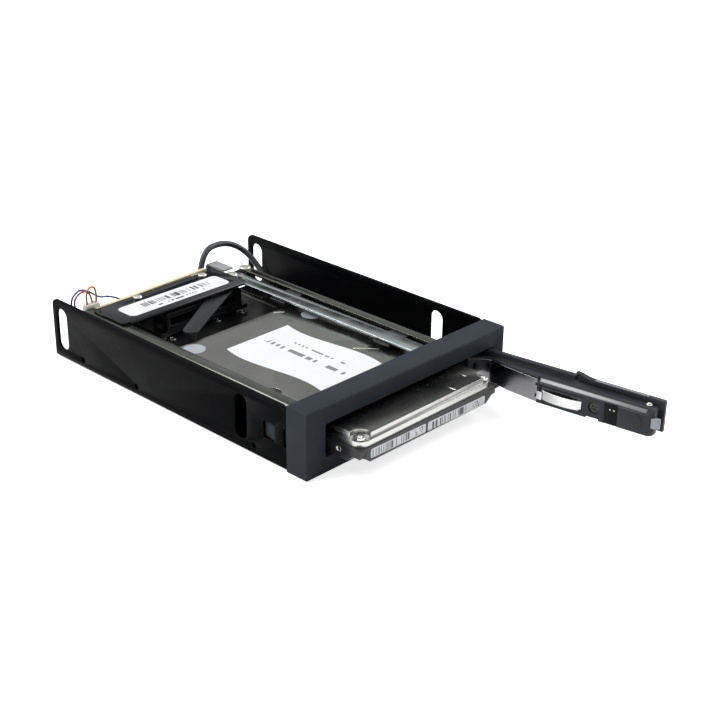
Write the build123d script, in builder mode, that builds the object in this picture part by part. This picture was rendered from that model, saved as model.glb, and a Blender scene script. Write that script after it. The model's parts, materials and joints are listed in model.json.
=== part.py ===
from build123d import *
from math import cos, radians, sin, tan
import os

os.makedirs("parts", exist_ok=True)

# A 3.5-inch bay frame that carries one 2.5-inch drive behind a hinged door.
# X runs across the bay, +Y to the rear and +Z up; the origin is the middle of the underside.

# Bay frame, all in millimetres
bay_width = 101.6
bay_length_room = 39.15
frame_height = 24.3
frame_sheet = 1.0
frame_fold_radius = 1.6
frame_corner_radius = 2.6
slot_width = 6.2
slot_length = 17.0
slot_height = 12.7
slot_spacing = 101.6
rear_slot_inset = 5.6
side_hole_radius = 1.25
side_hole_height = 3.8
side_hole_insets = (25.9, 89.7, 122.0)
snap_window_width = 5.6
snap_window_height = 6.5
snap_window_inset = 18.4
snap_window_level = 12.2
edge_notch_depth = 1.6
edge_notch_height = 7.0

# Bezel
bezel_height = 24.65
bezel_depth = 9.96
bezel_wall = 1.5
bezel_face_wall = 1.4
bezel_edge_radius = 0.9
opening_left_margin = 8.3
opening_right_margin = 6.6
opening_sill = 6.2
opening_height = 12.3
reveal_wall = 1.0
snap_arm_thickness = 1.6
snap_arm_width = 5.9
snap_arm_reach = 12.4
snap_ramp_rise = 0.9
snap_gap = 0.15

# Door and its hinge
door_open_angle = 98.1
hinge_inset = 14.9
hinge_setback = 6.5
hinge_pin_radius = 1.0
running_gap = 0.05
press_gap = 0.01
moving_gap = 0.35
door_end_gap = 2.4
door_heel = 7.2
door_thickness = 8.14
door_sill_gap = 0.4
door_top_gap = 0.4
door_face_plate = 2.1
door_step_height = 9.7
door_rim_chamfer = 2.1
door_corner_radius = 1.2
door_end_radius = 2.4
cam_depth = 3.45
cam_centre = 9.0
cam_end = 31.4
band_thickness = 0.4
band_inset = 0.3

# Latch in the door
latch_pin_end_gap = 3.4
latch_pin_depth = 4.1
latch_pin_radius = 0.65
latch_lever_reach = 32.4
latch_lever_thickness = 2.1
thumb_rise = 2.2
thumb_run = 12.0
thumb_bend = 5.5
thumb_lip = 1.4
knuckle_radius = 1.35
knuckle_height = 1.5
finger_reach = 3.0
finger_width = 1.0
finger_height = 1.6
latch_lever_swing = 18.0
latch_tail = 4.0
bolt_width = 1.7
bolt_height = 3.8
bolt_length = 7.7
bolt_level = 11.4
bolt_wall = 0.7
bolt_travel = 0.9
bolt_jamb_gap = 0.3
catch_depth = 3.2

# Things set in the door's inner face
spring_gap = 1.6
spring_length = 16.0
spring_width = 3.6
spring_level = 10.7
spring_bow = 1.3
spring_thickness = 0.3
spring_recess = 0.6
window_end_gap = 18.0
window_width = 5.0
window_height = 7.9
window_level = 10.45
lock_end_gap = 22.0
lock_level = 11.1
lock_radius = 2.2
boss_end_gap = 6.8
boss_radius = 3.0
boss_rise = 0.25
pocket_depth = 1.2
door_notch_end_gap = 25.0
door_notch_length = 5.0
door_notch_height = 1.4

# Drive
drive_width = 69.85
drive_length = 100.45
drive_height = 9.5
drive_offset = -4.55
drive_bottom = 6.5
drive_front_stand = 12.7
drive_travel = 22.2
drive_board_thickness = 1.0
cover_side_gap = 0.875
cover_front_gap = 0.5
cover_level = 5.3
cover_rim = 2.3
cover_bevel = 0.9
cover_radius = 4.0
drive_hole_inset = 9.85
drive_hole_spacing = 76.6
drive_hole_radius = 1.3
drive_hole_level = 3.0
cover_screw_radius = 1.9
plateau_inset = 6.2
plateau_front = 9.0
plateau_back = 6.5
corner_scoop = 4.2
corner_shelf = 1.5
spindle_radius = 29.0
spindle_ring = 1.2
spindle_reach = 37.0
label_width = 31.0
label_length = 49.0
label_thickness = 0.12

# Cage
cage_side_room = 3.675
cage_offset = -5.0
cage_sheet = 0.8
cage_floor_level = 5.2
cage_top_level = 19.6
cage_fold_radius = 1.7
left_flange = 4.8
right_flange = 5.1
cage_front_gap = 0.04
cage_rear_inset = 4.6
right_wall_front_cut = 6.5
right_wall_rear_cut = 23.0
left_wall_rear_cut = 5.0
flange_rear_cut = 12.0
rail_gap = 0.3
rail_height = 9.5
rail_end_room = 16.45
standoff_radius = 2.6
standoff_side_room = 21.2
standoff_end_room = 37.0
cage_screw_radius = 1.2
cage_screw_head = 2.3
screw_recess = 0.5

# Ejector
link_width = 6.7
link_inset = 7.7
link_sheet = 0.8
link_drop = 0.3
link_guide_insets = (18.0, 74.0)
link_guide_length = 8.0
link_guide_overhang = 1.0
crank_radius = 2.05
crank_pin_radius = 0.6
fork_prong = 0.9
lever_sheet = 0.9
lever_pivot_inset = 3.0
lever_pivot_rear = 19.5
lever_pivot_radius = 1.5
lever_radius = 62.0
lever_rest_angle = 208.9
lever_sweep = 21.0
lever_width = 6.4
lever_tab_height = 6.0
lever_tab_thickness = 1.2
lever_tab_width = 5.2
link_rivet_reach = 8.59
link_rivet_angle = 192.1
link_rivet_radius = 1.0
rivet_head_radius = 2.0
rivet_head_height = 0.6

# Rear
plate_sheet = 0.8
plate_inset = 1.8
plate_rear_inset = 13.1
plate_depth = 19.4
plate_hem = 2.4
rear_label_length = 49.6
rear_label_width = 10.3
rear_label_inset = 8.5
plate_screw_insets = (19.7, 52.6)
plate_screw_radius = 1.8
plate_screw_edge = 2.6
board_thickness = 1.6
board_width = 55.2
board_inset = 5.6
board_rear_inset = 10.8
board_top = 19.9
board_hole_drop = 3.4
clip_drop = 5.5
bracket_overlap = 5.2
receptacle_width = 38.8
receptacle_depth = 8.6
receptacle_height = 7.6
receptacle_offset = 4.8
drive_plug_height = 5.2
drive_plug_depth = 6.0
drive_plug_wall = 0.5
receptacle_stand = 0.4
receptacle_rise = 3.0
shelf_margin = 3.0
socket_width = 34.0
socket_depth = 6.5
socket_height = 6.0
wire_radius = 0.4
wire_connector_width = 7.3
wire_connector_height = 4.6
wire_connector_depth = 3.2
wire_header_width = 5.4
wire_header_height = 3.6
cable_radius = 1.25

# Sizes and places that follow from those above
bay_length = drive_length + bay_length_room
cage_width = drive_width + 2 * cage_side_room
cage_length = bay_length - bezel_depth - cage_front_gap - cage_rear_inset
cover_width = drive_width - 2 * cover_side_gap
rail_length = drive_length - rail_end_room
standoff_spacing_x = cage_width - standoff_side_room
standoff_spacing_y = cage_length - standoff_end_room
front_y = -bay_length / 2
rear_y = bay_length / 2
bezel_back = front_y + bezel_depth
left_x = -bay_width / 2
right_x = bay_width / 2
opening_left = left_x + opening_left_margin
opening_right = right_x - opening_right_margin
opening_top = opening_sill + opening_height
pivot_x = right_x - hinge_inset
pivot_y = front_y + hinge_setback
door_reach = pivot_x - opening_left - door_end_gap
latch_pin_reach = door_reach - latch_pin_end_gap
latch_lever_start = latch_pin_reach - latch_lever_reach
spring_start = cam_end + spring_gap
window_start = door_reach - window_end_gap
lock_reach = door_reach - lock_end_gap
boss_reach = door_reach - boss_end_gap
door_notch_start = door_reach - door_notch_end_gap
door_bottom = opening_sill + door_sill_gap
door_top = opening_top - door_top_gap
door_inner = hinge_setback - door_thickness
door_body_top = door_bottom + door_step_height
cage_left = cage_offset - cage_width / 2
cage_right = cage_offset + cage_width / 2
cage_front = bezel_back + cage_front_gap
cage_back = cage_front + cage_length
cage_floor = cage_floor_level + cage_sheet
drive_front = front_y - drive_front_stand
drive_back = drive_front + drive_length
drive_left = drive_offset - drive_width / 2
drive_right = drive_offset + drive_width / 2
drive_top = drive_bottom + drive_height
seated_back = drive_back + drive_travel
link_top = cage_top_level - link_drop
link_bottom = link_top - link_sheet
link_right = cage_right - link_inset
link_left = link_right - link_width
lever_x = cage_right - lever_pivot_inset
lever_y = rear_y - lever_pivot_rear
lever_top = link_bottom - link_drop
lever_bottom = lever_top - lever_sheet
plate_left = cage_left + plate_inset
plate_back = rear_y - plate_rear_inset
plate_front = plate_back - plate_depth
link_rivet_turn = radians(link_rivet_angle)
link_rivet_x = lever_x + link_rivet_reach * cos(link_rivet_turn)
link_rivet_y = lever_y + link_rivet_reach * sin(link_rivet_turn)
plate_right = link_rivet_x - rivet_head_radius - moving_gap
plate_width = plate_right - plate_left
plate_top = cage_top_level + plate_sheet
board_back = rear_y - board_rear_inset + board_thickness
board_front = board_back - board_thickness
board_left = cage_left + board_inset
board_right = board_left + board_width


def facing_front(y):
    """Plane at y whose local axes are X and Z; positive extrusion goes to the front."""
    return Plane.XZ.offset(-y)


def facing_side(x):
    """Plane at x whose local axes are Y and Z; positive extrusion goes to +X."""
    return Plane.YZ.offset(x)


def level(z):
    """Horizontal plane at height z."""
    return Plane.XY.offset(z)


# The door's own directions: along it from the hinge, and out through its face
door_turn = radians(180 + door_open_angle)
along = Vector(cos(door_turn), sin(door_turn), 0)
outward = Vector(-sin(door_turn), cos(door_turn), 0)
pivot = Vector(pivot_x, pivot_y, 0)


def door_level(z):
    """Horizontal plane at height z whose X runs along the door and Y out of its face."""
    return Plane(origin=pivot + Vector(0, 0, z), x_dir=along, z_dir=(0, 0, 1))


def door_inside(depth):
    """Plane on the door's inner side, depth from the pivot; local axes are reach and Z."""
    return Plane(origin=pivot + outward * depth, x_dir=along, z_dir=outward * -1)


def door_section(reach):
    """Plane across the door at a reach from the pivot; local axes are depth and Z."""
    return Plane(origin=pivot + along * reach, x_dir=outward, z_dir=along)


# Folded bay frame
with BuildPart() as bay_frame:
    with BuildSketch(facing_front(rear_y)):
        with BuildLine():
            FilletPolyline(
                (left_x, frame_height),
                (left_x, 0),
                (right_x, 0),
                (right_x, frame_height),
                radius=frame_fold_radius,
            )
            offset(amount=frame_sheet, side=Side.LEFT)
        make_face()
    extrude(amount=bay_length - bezel_depth)
    cross_edges = bay_frame.edges().filter_by(Axis.X)
    fillet(cross_edges.group_by(Axis.Z)[-1], radius=frame_corner_radius)
    rear_slot_y = rear_y - rear_slot_inset
    with BuildSketch(facing_side(left_x)):
        for slot_y in (rear_slot_y, rear_slot_y - slot_spacing):
            with Locations((slot_y, slot_height)):
                SlotOverall(slot_length, slot_width, rotation=90)
        for inset in side_hole_insets:
            with Locations((front_y + inset, side_hole_height)):
                Circle(side_hole_radius)
        with Locations((front_y + snap_window_inset, snap_window_level)):
            Rectangle(snap_window_width, snap_window_height)
        with Locations((bezel_back, snap_window_level)):
            Rectangle(2 * edge_notch_depth, edge_notch_height)
    extrude(amount=bay_width, mode=Mode.SUBTRACT)
    with Locations(level(0)):
        with GridLocations(standoff_spacing_x, standoff_spacing_y, 2, 2):
            with Locations((cage_offset, 0)):
                Cone(
                    cage_screw_head + press_gap,
                    cage_screw_radius + press_gap,
                    frame_sheet,
                    align=(Align.CENTER, Align.CENTER, Align.MIN),
                    mode=Mode.SUBTRACT,
                )
bay_frame.part.label = "bay_frame"

# Moulded bezel: a thin shell with a frame of reveal walls round the opening
with BuildPart() as front_bezel:
    with BuildSketch(facing_front(bezel_back)):
        with Locations((0, bezel_height / 2)):
            Rectangle(bay_width, bezel_height)
    extrude(amount=bezel_depth)
    face_edges = front_bezel.faces().sort_by(Axis.Y)[0].edges()
    fillet(face_edges, radius=bezel_edge_radius)
    with BuildSketch(facing_front(bezel_back)):
        with Locations((0, bezel_height / 2)):
            Rectangle(bay_width - 2 * bezel_wall, bezel_height - 2 * bezel_wall)
    extrude(amount=bezel_depth - bezel_face_wall, mode=Mode.SUBTRACT)
    with BuildSketch(facing_front(bezel_back)):
        with Locations((0, opening_sill - reveal_wall / 2)):
            Rectangle(bay_width - bezel_wall, reveal_wall)
        with Locations((opening_left - reveal_wall / 2, bezel_height / 2)):
            Rectangle(reveal_wall, bezel_height - bezel_wall)
        with Locations(((opening_left + link_left) / 2 - moving_gap, opening_top + reveal_wall / 2)):
            Rectangle(link_left - opening_left, reveal_wall)
    extrude(amount=bezel_depth - bezel_face_wall / 2)
    with BuildSketch(level(bezel_wall / 2)):
        with Locations((pivot_x, pivot_y)):
            Circle(2.4 * hinge_pin_radius)
    extrude(amount=opening_sill - (reveal_wall + bezel_wall) / 2)
    with BuildSketch(level(link_top + moving_gap)):
        with Locations((pivot_x, pivot_y)):
            Circle(2.4 * hinge_pin_radius)
    extrude(amount=bezel_height - bezel_wall / 2 - link_top - moving_gap)
    with BuildSketch(facing_front(front_y)):
        with Locations(((opening_left + opening_right) / 2, opening_sill + opening_height / 2)):
            Rectangle(opening_right - opening_left, opening_height)
    extrude(amount=-bezel_face_wall, mode=Mode.SUBTRACT)
    for side in (-1, 1):
        arm_outer = side * (bay_width / 2 - frame_sheet - snap_gap)
        arm_front = front_y + bezel_face_wall / 2
        with BuildSketch(level(snap_window_level - snap_arm_width / 2)):
            with BuildLine():
                Polyline(
                    (arm_outer - side * bezel_wall / 2, arm_front),
                    (arm_outer - side * bezel_wall / 2, bezel_back - bezel_wall),
                    (arm_outer, bezel_back),
                    (arm_outer, front_y + snap_window_inset - snap_window_width / 2 + moving_gap),
                    (
                        arm_outer + side * snap_ramp_rise,
                        front_y + snap_window_inset - snap_window_width / 2 + moving_gap,
                    ),
                    (arm_outer, front_y + snap_window_inset + snap_window_width / 2),
                    (arm_outer, bezel_back + snap_arm_reach),
                    (arm_outer - side * snap_arm_thickness, bezel_back + snap_arm_reach),
                    (arm_outer - side * snap_arm_thickness, arm_front),
                    close=True,
                )
            make_face()
        extrude(amount=snap_arm_width)
    with BuildSketch(level(bezel_wall)):
        with Locations((pivot_x, pivot_y)):
            Circle(hinge_pin_radius + press_gap)
    extrude(amount=bezel_height - 2 * bezel_wall, mode=Mode.SUBTRACT)
    catch_y = pivot_y - (door_inner + bolt_wall + bolt_width / 2)
    with BuildSketch(facing_side(opening_left - 2 * reveal_wall)):
        with Locations((catch_y, bolt_level)):
            Rectangle(catch_depth, bolt_height + 2 * moving_gap)
    extrude(amount=3 * reveal_wall, mode=Mode.SUBTRACT)
front_bezel.part.label = "front_bezel"

with BuildPart() as hinge_pin:
    with BuildSketch(level(bezel_wall)):
        with Locations((pivot_x, pivot_y)):
            Circle(hinge_pin_radius)
    extrude(amount=bezel_height - 2 * bezel_wall)
hinge_pin.part.label = "hinge_pin"

# Folded drive cage with a flange along the top of each wall
with BuildPart() as drive_cage:
    with BuildSketch(facing_front(cage_back)):
        with BuildLine():
            FilletPolyline(
                (cage_left + left_flange, cage_top_level),
                (cage_left, cage_top_level),
                (cage_left, cage_floor_level),
                (cage_right, cage_floor_level),
                (cage_right, cage_top_level),
                (cage_right - right_flange, cage_top_level),
                radius=cage_fold_radius,
            )
            offset(amount=cage_sheet, side=Side.LEFT)
        make_face()
    extrude(amount=cage_length)
    wall_height = cage_top_level - cage_floor_level
    flange_bottom = cage_top_level - cage_sheet
    cut_top = cage_top_level - cage_fold_radius
    with BuildSketch(facing_side(cage_right - 2 * cage_fold_radius)):
        with Locations((cage_front, cage_floor)):
            Rectangle(
                2 * right_wall_front_cut,
                cut_top - cage_floor,
                align=(Align.CENTER, Align.MIN),
            )
        with Locations((cage_back, cage_floor + cage_fold_radius)):
            Rectangle(
                2 * right_wall_rear_cut,
                flange_bottom - cage_floor - cage_fold_radius,
                align=(Align.CENTER, Align.MIN),
            )
    extrude(amount=3 * cage_fold_radius, mode=Mode.SUBTRACT)
    with BuildSketch(level(cage_floor + cage_fold_radius)):
        with Locations((cage_right, cage_back)):
            Rectangle(4 * right_flange, 2 * flange_rear_cut)
        with Locations((cage_left, cage_back)):
            Rectangle(4 * left_flange, 2 * left_wall_rear_cut)
    extrude(amount=wall_height, mode=Mode.SUBTRACT)
    flange_end = cage_back - flange_rear_cut
    flange_corners = (
        drive_cage.edges()
        .filter_by(Axis.Z)
        .filter_by(lambda e: e.center().Z > cut_top and abs(e.center().Y - flange_end) < 0.01)
    )
    fillet(flange_corners.sort_by(Axis.X)[0], radius=right_flange / 2.2)
    with Locations(level(cage_floor_level)):
        with Locations((cage_offset, 0)):
            with GridLocations(standoff_spacing_x, standoff_spacing_y, 2, 2):
                Hole(cage_screw_radius + press_gap)
    with BuildSketch(level(cage_top_level)):
        with Locations((lever_x, lever_y)):
            Circle(lever_pivot_radius + press_gap)
    extrude(amount=-2 * cage_sheet, mode=Mode.SUBTRACT)
drive_cage.part.label = "drive_cage"

# Moulded guide rails along both walls, with a lead-in at the front
rail_front = cage_front + right_wall_front_cut + moving_gap
for side, name in ((-1, "guide_rail_left"), (1, "guide_rail_right")):
    wall_x = cage_offset + side * (cage_width / 2 - cage_sheet)
    drive_x = drive_offset + side * drive_width / 2
    face_x = drive_x + side * rail_gap
    with BuildPart() as guide_rail:
        with BuildSketch(level(cage_floor)):
            with BuildLine():
                Polyline(
                    (wall_x, rail_front),
                    (wall_x, rail_front + rail_length),
                    (face_x, rail_front + rail_length),
                    (face_x, rail_front + 4 * abs(wall_x - face_x)),
                    (face_x + side * abs(wall_x - face_x) / 2, rail_front),
                    close=True,
                )
            make_face()
        extrude(amount=rail_height)
        inner_edges = guide_rail.edges().filter_by(Axis.Y).group_by(Axis.Z)[-1]
        chamfer(inner_edges.sort_by(Axis.X)[0 if side > 0 else -1], length=0.6)
        outer_edges = guide_rail.edges().filter_by(Axis.Y).group_by(Axis.Z)[0]
        chamfer(outer_edges.sort_by(Axis.X)[-1 if side > 0 else 0], length=cage_fold_radius - cage_sheet)
    guide_rail.part.label = name
    export_step(guide_rail.part, "parts/" + name + ".step")

# Spacers between the bay frame and the cage, and their countersunk screws
with BuildPart() as cage_standoffs:
    with BuildSketch(level(frame_sheet)):
        with Locations((cage_offset, 0)):
            with GridLocations(standoff_spacing_x, standoff_spacing_y, 2, 2):
                RegularPolygon(standoff_radius, 6)
                Circle(cage_screw_radius + press_gap, mode=Mode.SUBTRACT)
    extrude(amount=cage_floor_level - frame_sheet)
cage_standoffs.part.label = "cage_standoffs"

with BuildPart() as cage_screws:
    with BuildSketch(Plane.XZ) as screw_half:
        with BuildLine():
            Polyline(
                (0, 0),
                (cage_screw_head, 0),
                (cage_screw_radius, frame_sheet),
                (cage_screw_radius, cage_floor),
                (0, cage_floor),
                close=True,
            )
        make_face()
    screw_turned = revolve(screw_half.sketch, axis=Axis.Z, mode=Mode.PRIVATE)
    with Locations((cage_offset, 0)):
        with GridLocations(standoff_spacing_x, standoff_spacing_y, 2, 2):
            add(screw_turned)
    with BuildSketch(level(0)):
        with Locations((cage_offset, 0)):
            with GridLocations(standoff_spacing_x, standoff_spacing_y, 2, 2):
                Rectangle(cage_screw_head, screw_recess)
                Rectangle(screw_recess, cage_screw_head)
    extrude(amount=screw_recess, mode=Mode.SUBTRACT)
cage_screws.part.label = "cage_screws"

# Rear cross plate with a folded hem along its front
with BuildPart() as rear_cross_plate:
    with BuildSketch(level(cage_top_level)):
        with Locations((plate_left + plate_width / 2, (plate_front + plate_sheet + plate_back) / 2)):
            RectangleRounded(plate_width, plate_depth - plate_sheet, 1.2)
        for inset in plate_screw_insets:
            with Locations((plate_left + inset, plate_back - plate_screw_edge)):
                Circle(plate_screw_radius / 2 + press_gap, mode=Mode.SUBTRACT)
    extrude(amount=plate_sheet)
    hem_left = cage_left + left_flange + moving_gap
    hem_right = link_left - moving_gap
    with BuildSketch(facing_side(hem_left)):
        with Locations((plate_front + plate_sheet, cage_top_level)):
            Circle(plate_sheet)
        with Locations((plate_front + (plate_sheet + plate_hem) / 2, cage_top_level)):
            Rectangle(plate_hem - plate_sheet, 2 * plate_sheet)
    extrude(amount=hem_right - hem_left)
rear_cross_plate.part.label = "rear_cross_plate"

with BuildPart() as plate_screws:
    for inset in plate_screw_insets:
        with BuildSketch(level(plate_top)):
            with Locations((plate_left + inset, plate_back - plate_screw_edge)):
                Circle(plate_screw_radius)
        extrude(amount=plate_screw_radius / 2)
        with BuildSketch(level(plate_top)):
            with Locations((plate_left + inset, plate_back - plate_screw_edge)):
                Circle(plate_screw_radius / 2)
        extrude(amount=-2.5 * plate_sheet)
    fillet(plate_screws.faces().group_by(Axis.Z)[-1].edges(), radius=plate_screw_radius / 5)
plate_screws.part.label = "plate_screws"

with BuildPart() as rear_label:
    label_x = cage_left + rear_label_inset + rear_label_length / 2
    label_y = plate_front + plate_hem + (plate_depth - plate_hem) * 0.36
    with BuildSketch(level(plate_top)):
        with Locations((label_x, label_y)):
            RectangleRounded(rear_label_length, rear_label_width, 2.4)
    extrude(amount=label_thickness)
rear_label.part.label = "rear_label"

# Upright board with its sockets, and the brackets that hold it
with BuildPart() as backplane_board:
    with BuildSketch(facing_front(board_back)):
        with Locations(((board_left + board_right) / 2, (board_top + cage_floor) / 2)):
            Rectangle(board_width, board_top - cage_floor)
        for inset in plate_screw_insets:
            with Locations((plate_left + inset, cage_top_level - board_hole_drop)):
                Circle(0.8, mode=Mode.SUBTRACT)
    extrude(amount=board_thickness)
backplane_board.part.label = "backplane_board"

with BuildPart() as board_clips:
    for inset in plate_screw_insets:
        clip_x = plate_left + inset
        clip_y = plate_back - plate_screw_edge
        with BuildSketch(facing_side(clip_x - 2)):
            with BuildLine():
                FilletPolyline(
                    (clip_y - 2, cage_top_level),
                    (board_front, cage_top_level),
                    (board_front, cage_top_level - clip_drop),
                    radius=1.1,
                )
                offset(amount=plate_sheet, side=Side.RIGHT)
            make_face()
        extrude(amount=4)
        with Locations(level(cage_top_level)):
            with Locations((clip_x, clip_y)):
                Hole(plate_screw_radius / 2 + press_gap)
board_clips.part.label = "board_clips"

# Bent tab that comes up behind the board and forward over the link
tab_bottom = link_top + rivet_head_height + moving_gap
tab_left = plate_right + 0.2
tab_width = 5.0
with BuildPart() as board_bracket:
    with BuildSketch(facing_side(tab_left)):
        with BuildLine():
            FilletPolyline(
                (plate_back - bracket_overlap, tab_bottom),
                (board_back + 1.5, tab_bottom),
                (board_back + 1.5, cage_floor),
                (cage_back, cage_floor),
                radius=1.0,
            )
            offset(amount=plate_sheet, side=Side.LEFT)
        make_face()
    extrude(amount=tab_width)
board_bracket.part.label = "board_bracket"

# Drive receptacle on its shelf board, and the socket row at the very back
receptacle_x = drive_offset + receptacle_offset
receptacle_front = seated_back + receptacle_stand
receptacle_base = cage_floor + receptacle_rise
with BuildPart() as connector_board:
    with BuildSketch(level(receptacle_base - board_thickness)):
        with Locations((receptacle_x, (receptacle_front + board_front) / 2)):
            Rectangle(receptacle_width + 2 * shelf_margin, board_front - receptacle_front)
    extrude(amount=board_thickness)
connector_board.part.label = "connector_board"

with BuildPart() as board_posts:
    with BuildSketch(level(cage_floor)):
        with Locations((receptacle_x, (receptacle_front + board_front) / 2)):
            with GridLocations(receptacle_width, board_front - receptacle_front - 2 * shelf_margin, 2, 2):
                Circle(1.8)
    extrude(until=Until.NEXT, target=connector_board.part)
board_posts.part.label = "board_posts"

with BuildPart() as drive_receptacle:
    with BuildSketch(level(receptacle_base)):
        with Locations((receptacle_x, receptacle_front + receptacle_depth / 2)):
            Rectangle(receptacle_width, receptacle_depth)
    extrude(amount=receptacle_height)
    with BuildSketch(facing_front(receptacle_front)):
        with Locations((receptacle_x - receptacle_width * 0.19, receptacle_base + receptacle_height * 0.5)):
            Rectangle(receptacle_width * 0.52, receptacle_height * 0.42)
        with Locations((receptacle_x + receptacle_width * 0.28, receptacle_base + receptacle_height * 0.5)):
            Rectangle(receptacle_width * 0.3, receptacle_height * 0.42)
    extrude(amount=-receptacle_depth * 0.75, mode=Mode.SUBTRACT)
    outer_edges = drive_receptacle.edges().filter_by(Axis.Y).group_by(Axis.Z)[-1]
    chamfer(outer_edges, length=0.8)
drive_receptacle.part.label = "drive_receptacle"

with BuildPart() as rear_socket:
    socket_x = (board_left + board_right) / 2 - 3
    socket_z = receptacle_base + socket_height / 2
    with BuildSketch(facing_front(board_back + socket_depth)):
        with Locations((socket_x, socket_z)):
            RectangleRounded(socket_width, socket_height, 0.6)
    extrude(amount=socket_depth)
    with BuildSketch(facing_front(board_back + socket_depth)):
        for shift, width in ((-0.2, 0.48), (0.29, 0.28)):
            with Locations((socket_x + shift * socket_width, socket_z)):
                Rectangle(width * socket_width, 2.4)
            with Locations((socket_x + (shift - width / 2) * socket_width + 0.9, socket_z - 1.0)):
                Rectangle(1.8, 2.4)
    extrude(amount=socket_depth * 0.8, mode=Mode.SUBTRACT)
rear_socket.part.label = "rear_socket"

with BuildPart() as wire_connector:
    connector_x = board_left - 0.4
    with BuildSketch(facing_front(board_back + wire_connector_depth)):
        with Locations((connector_x, board_top - 0.4)):
            Rectangle(wire_connector_width, wire_connector_height)
    extrude(amount=wire_connector_depth)
    chamfer(wire_connector.edges().filter_by(Axis.Y).group_by(Axis.Z)[-1], length=0.5)
wire_connector.part.label = "wire_connector"

with BuildPart() as wire_header:
    header_x = connector_x + 1.6
    header_z = board_top - 6.4
    with BuildSketch(facing_front(board_back + wire_header_height)):
        with Locations((header_x, header_z)):
            Rectangle(wire_header_width, wire_header_height)
    extrude(amount=wire_header_height)
wire_header.part.label = "wire_header"

# Three thin leads and one sleeved lead, as straight runs joined by tangent arcs
wire_exit = board_top + 1.9
wire_y = board_back + 1.3
header_left = header_x - wire_header_width / 2
wire_left = connector_x - 7.4
wire_routes = {
    "wire_orange": (
        (connector_x - 2.7, wire_y, wire_exit),
        (connector_x - 2.7, wire_y, wire_exit + 5.5),
        (connector_x + 3.1, wire_y, wire_exit + 5.6),
        (connector_x + 3.1, wire_y, wire_exit),
    ),
    "wire_red": (
        (header_left, wire_y + 0.5, header_z - 0.7),
        (wire_left, wire_y + 0.5, header_z - 0.6),
        (wire_left + 0.4, wire_y + 0.7, header_z + 5.4),
        (wire_left + 0.1, wire_y + 0.9, wire_exit + 2.3),
        (wire_left + 3.9, wire_y + 1.0, wire_exit + 4.5),
        (wire_left + 7.8, wire_y + 1.0, wire_exit + 3.2),
        (wire_left + 8.5, wire_y + 1.0, wire_exit),
    ),
    "wire_blue": (
        (header_left, wire_y + 1.8, header_z + 0.9),
        (wire_left - 0.6, wire_y + 1.9, header_z + 0.8),
        (wire_left - 0.4, wire_y + 2.0, header_z + 6.2),
        (wire_left - 0.3, wire_y + 2.1, wire_exit + 2.4),
        (wire_left + 3.8, wire_y + 2.1, wire_exit + 5.1),
        (wire_left + 8.2, wire_y + 2.1, wire_exit + 3.0),
        (wire_left + 12.3, wire_y + 1.9, wire_exit - 0.7),
        (wire_left + 17.6, wire_y + 1.2, wire_exit - 1.2),
        (wire_left + 22.2, wire_y - 0.6, wire_exit - 4.0),
    ),
}
cable_route = (
    (plate_right - 3.9, board_back + 1.4, board_top - 7.9),
    (plate_right - 2.2, board_back + 2.8, board_top + 6.1),
    (plate_right + 12.4, board_back + 4.9, board_top + 6.8),
    (plate_right + 22.4, board_back + 2.7, board_top + 1.2),
    (plate_right + 25.0, board_back - 4.6, board_top - 7.2),
    (plate_right + 24.2, board_back - 12.4, board_top - 13.0),
)


def cord_radii(route):
    """Arc radius at each inner point: 0.45 of the shorter run over the tangent of half the turn."""
    points = [Vector(*point) for point in route]
    runs = [after - before for before, after in zip(points, points[1:])]
    radii = []
    for first, second in zip(runs, runs[1:]):
        half_turn = radians(first.get_angle(second) / 2)
        radii.append(0.45 * min(first.length, second.length) / tan(half_turn))
    return radii


for name, route in wire_routes.items():
    radii = cord_radii(route)
    with BuildPart() as wire:
        with BuildLine():
            wire_path = FilletPolyline(*route, radius=radii)
        with BuildSketch(Plane(origin=wire_path @ 0, z_dir=wire_path % 0)):
            Circle(wire_radius)
        sweep()
    print(name, "length", round(wire_path.length, 1), "radii", [round(r, 1) for r in radii])
    wire.part.label = name
    export_step(wire.part, "parts/" + name + ".step")

cable_radii = cord_radii(cable_route)
with BuildPart() as sleeved_cable:
    with BuildLine():
        cable_path = FilletPolyline(*cable_route, radius=cable_radii)
    with BuildSketch(Plane(origin=cable_path @ 0, z_dir=cable_path % 0)):
        Circle(cable_radius)
    sweep()
print("sleeved_cable length", round(cable_path.length, 1), "radii", [round(r, 1) for r in cable_radii])
sleeved_cable.part.label = "sleeved_cable"

# Sleeve ends: a root block behind the board and a small plug above the bay floor
cable_start = cable_path @ 0
cable_end = cable_path @ 1
with BuildPart() as cable_root:
    with BuildSketch(facing_front(board_back + 3.4)):
        with Locations((cable_start.X, cable_start.Z - 1.9)):
            RectangleRounded(3.6, 3.8, 0.5)
    extrude(amount=3.4)
cable_root.part.label = "cable_root"

with BuildPart() as cable_plug:
    with BuildSketch(Plane(origin=cable_end, z_dir=cable_path % 1)):
        RectangleRounded(5.0, 3.4, 0.5)
    extrude(amount=5.0)
cable_plug.part.label = "cable_plug"

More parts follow.
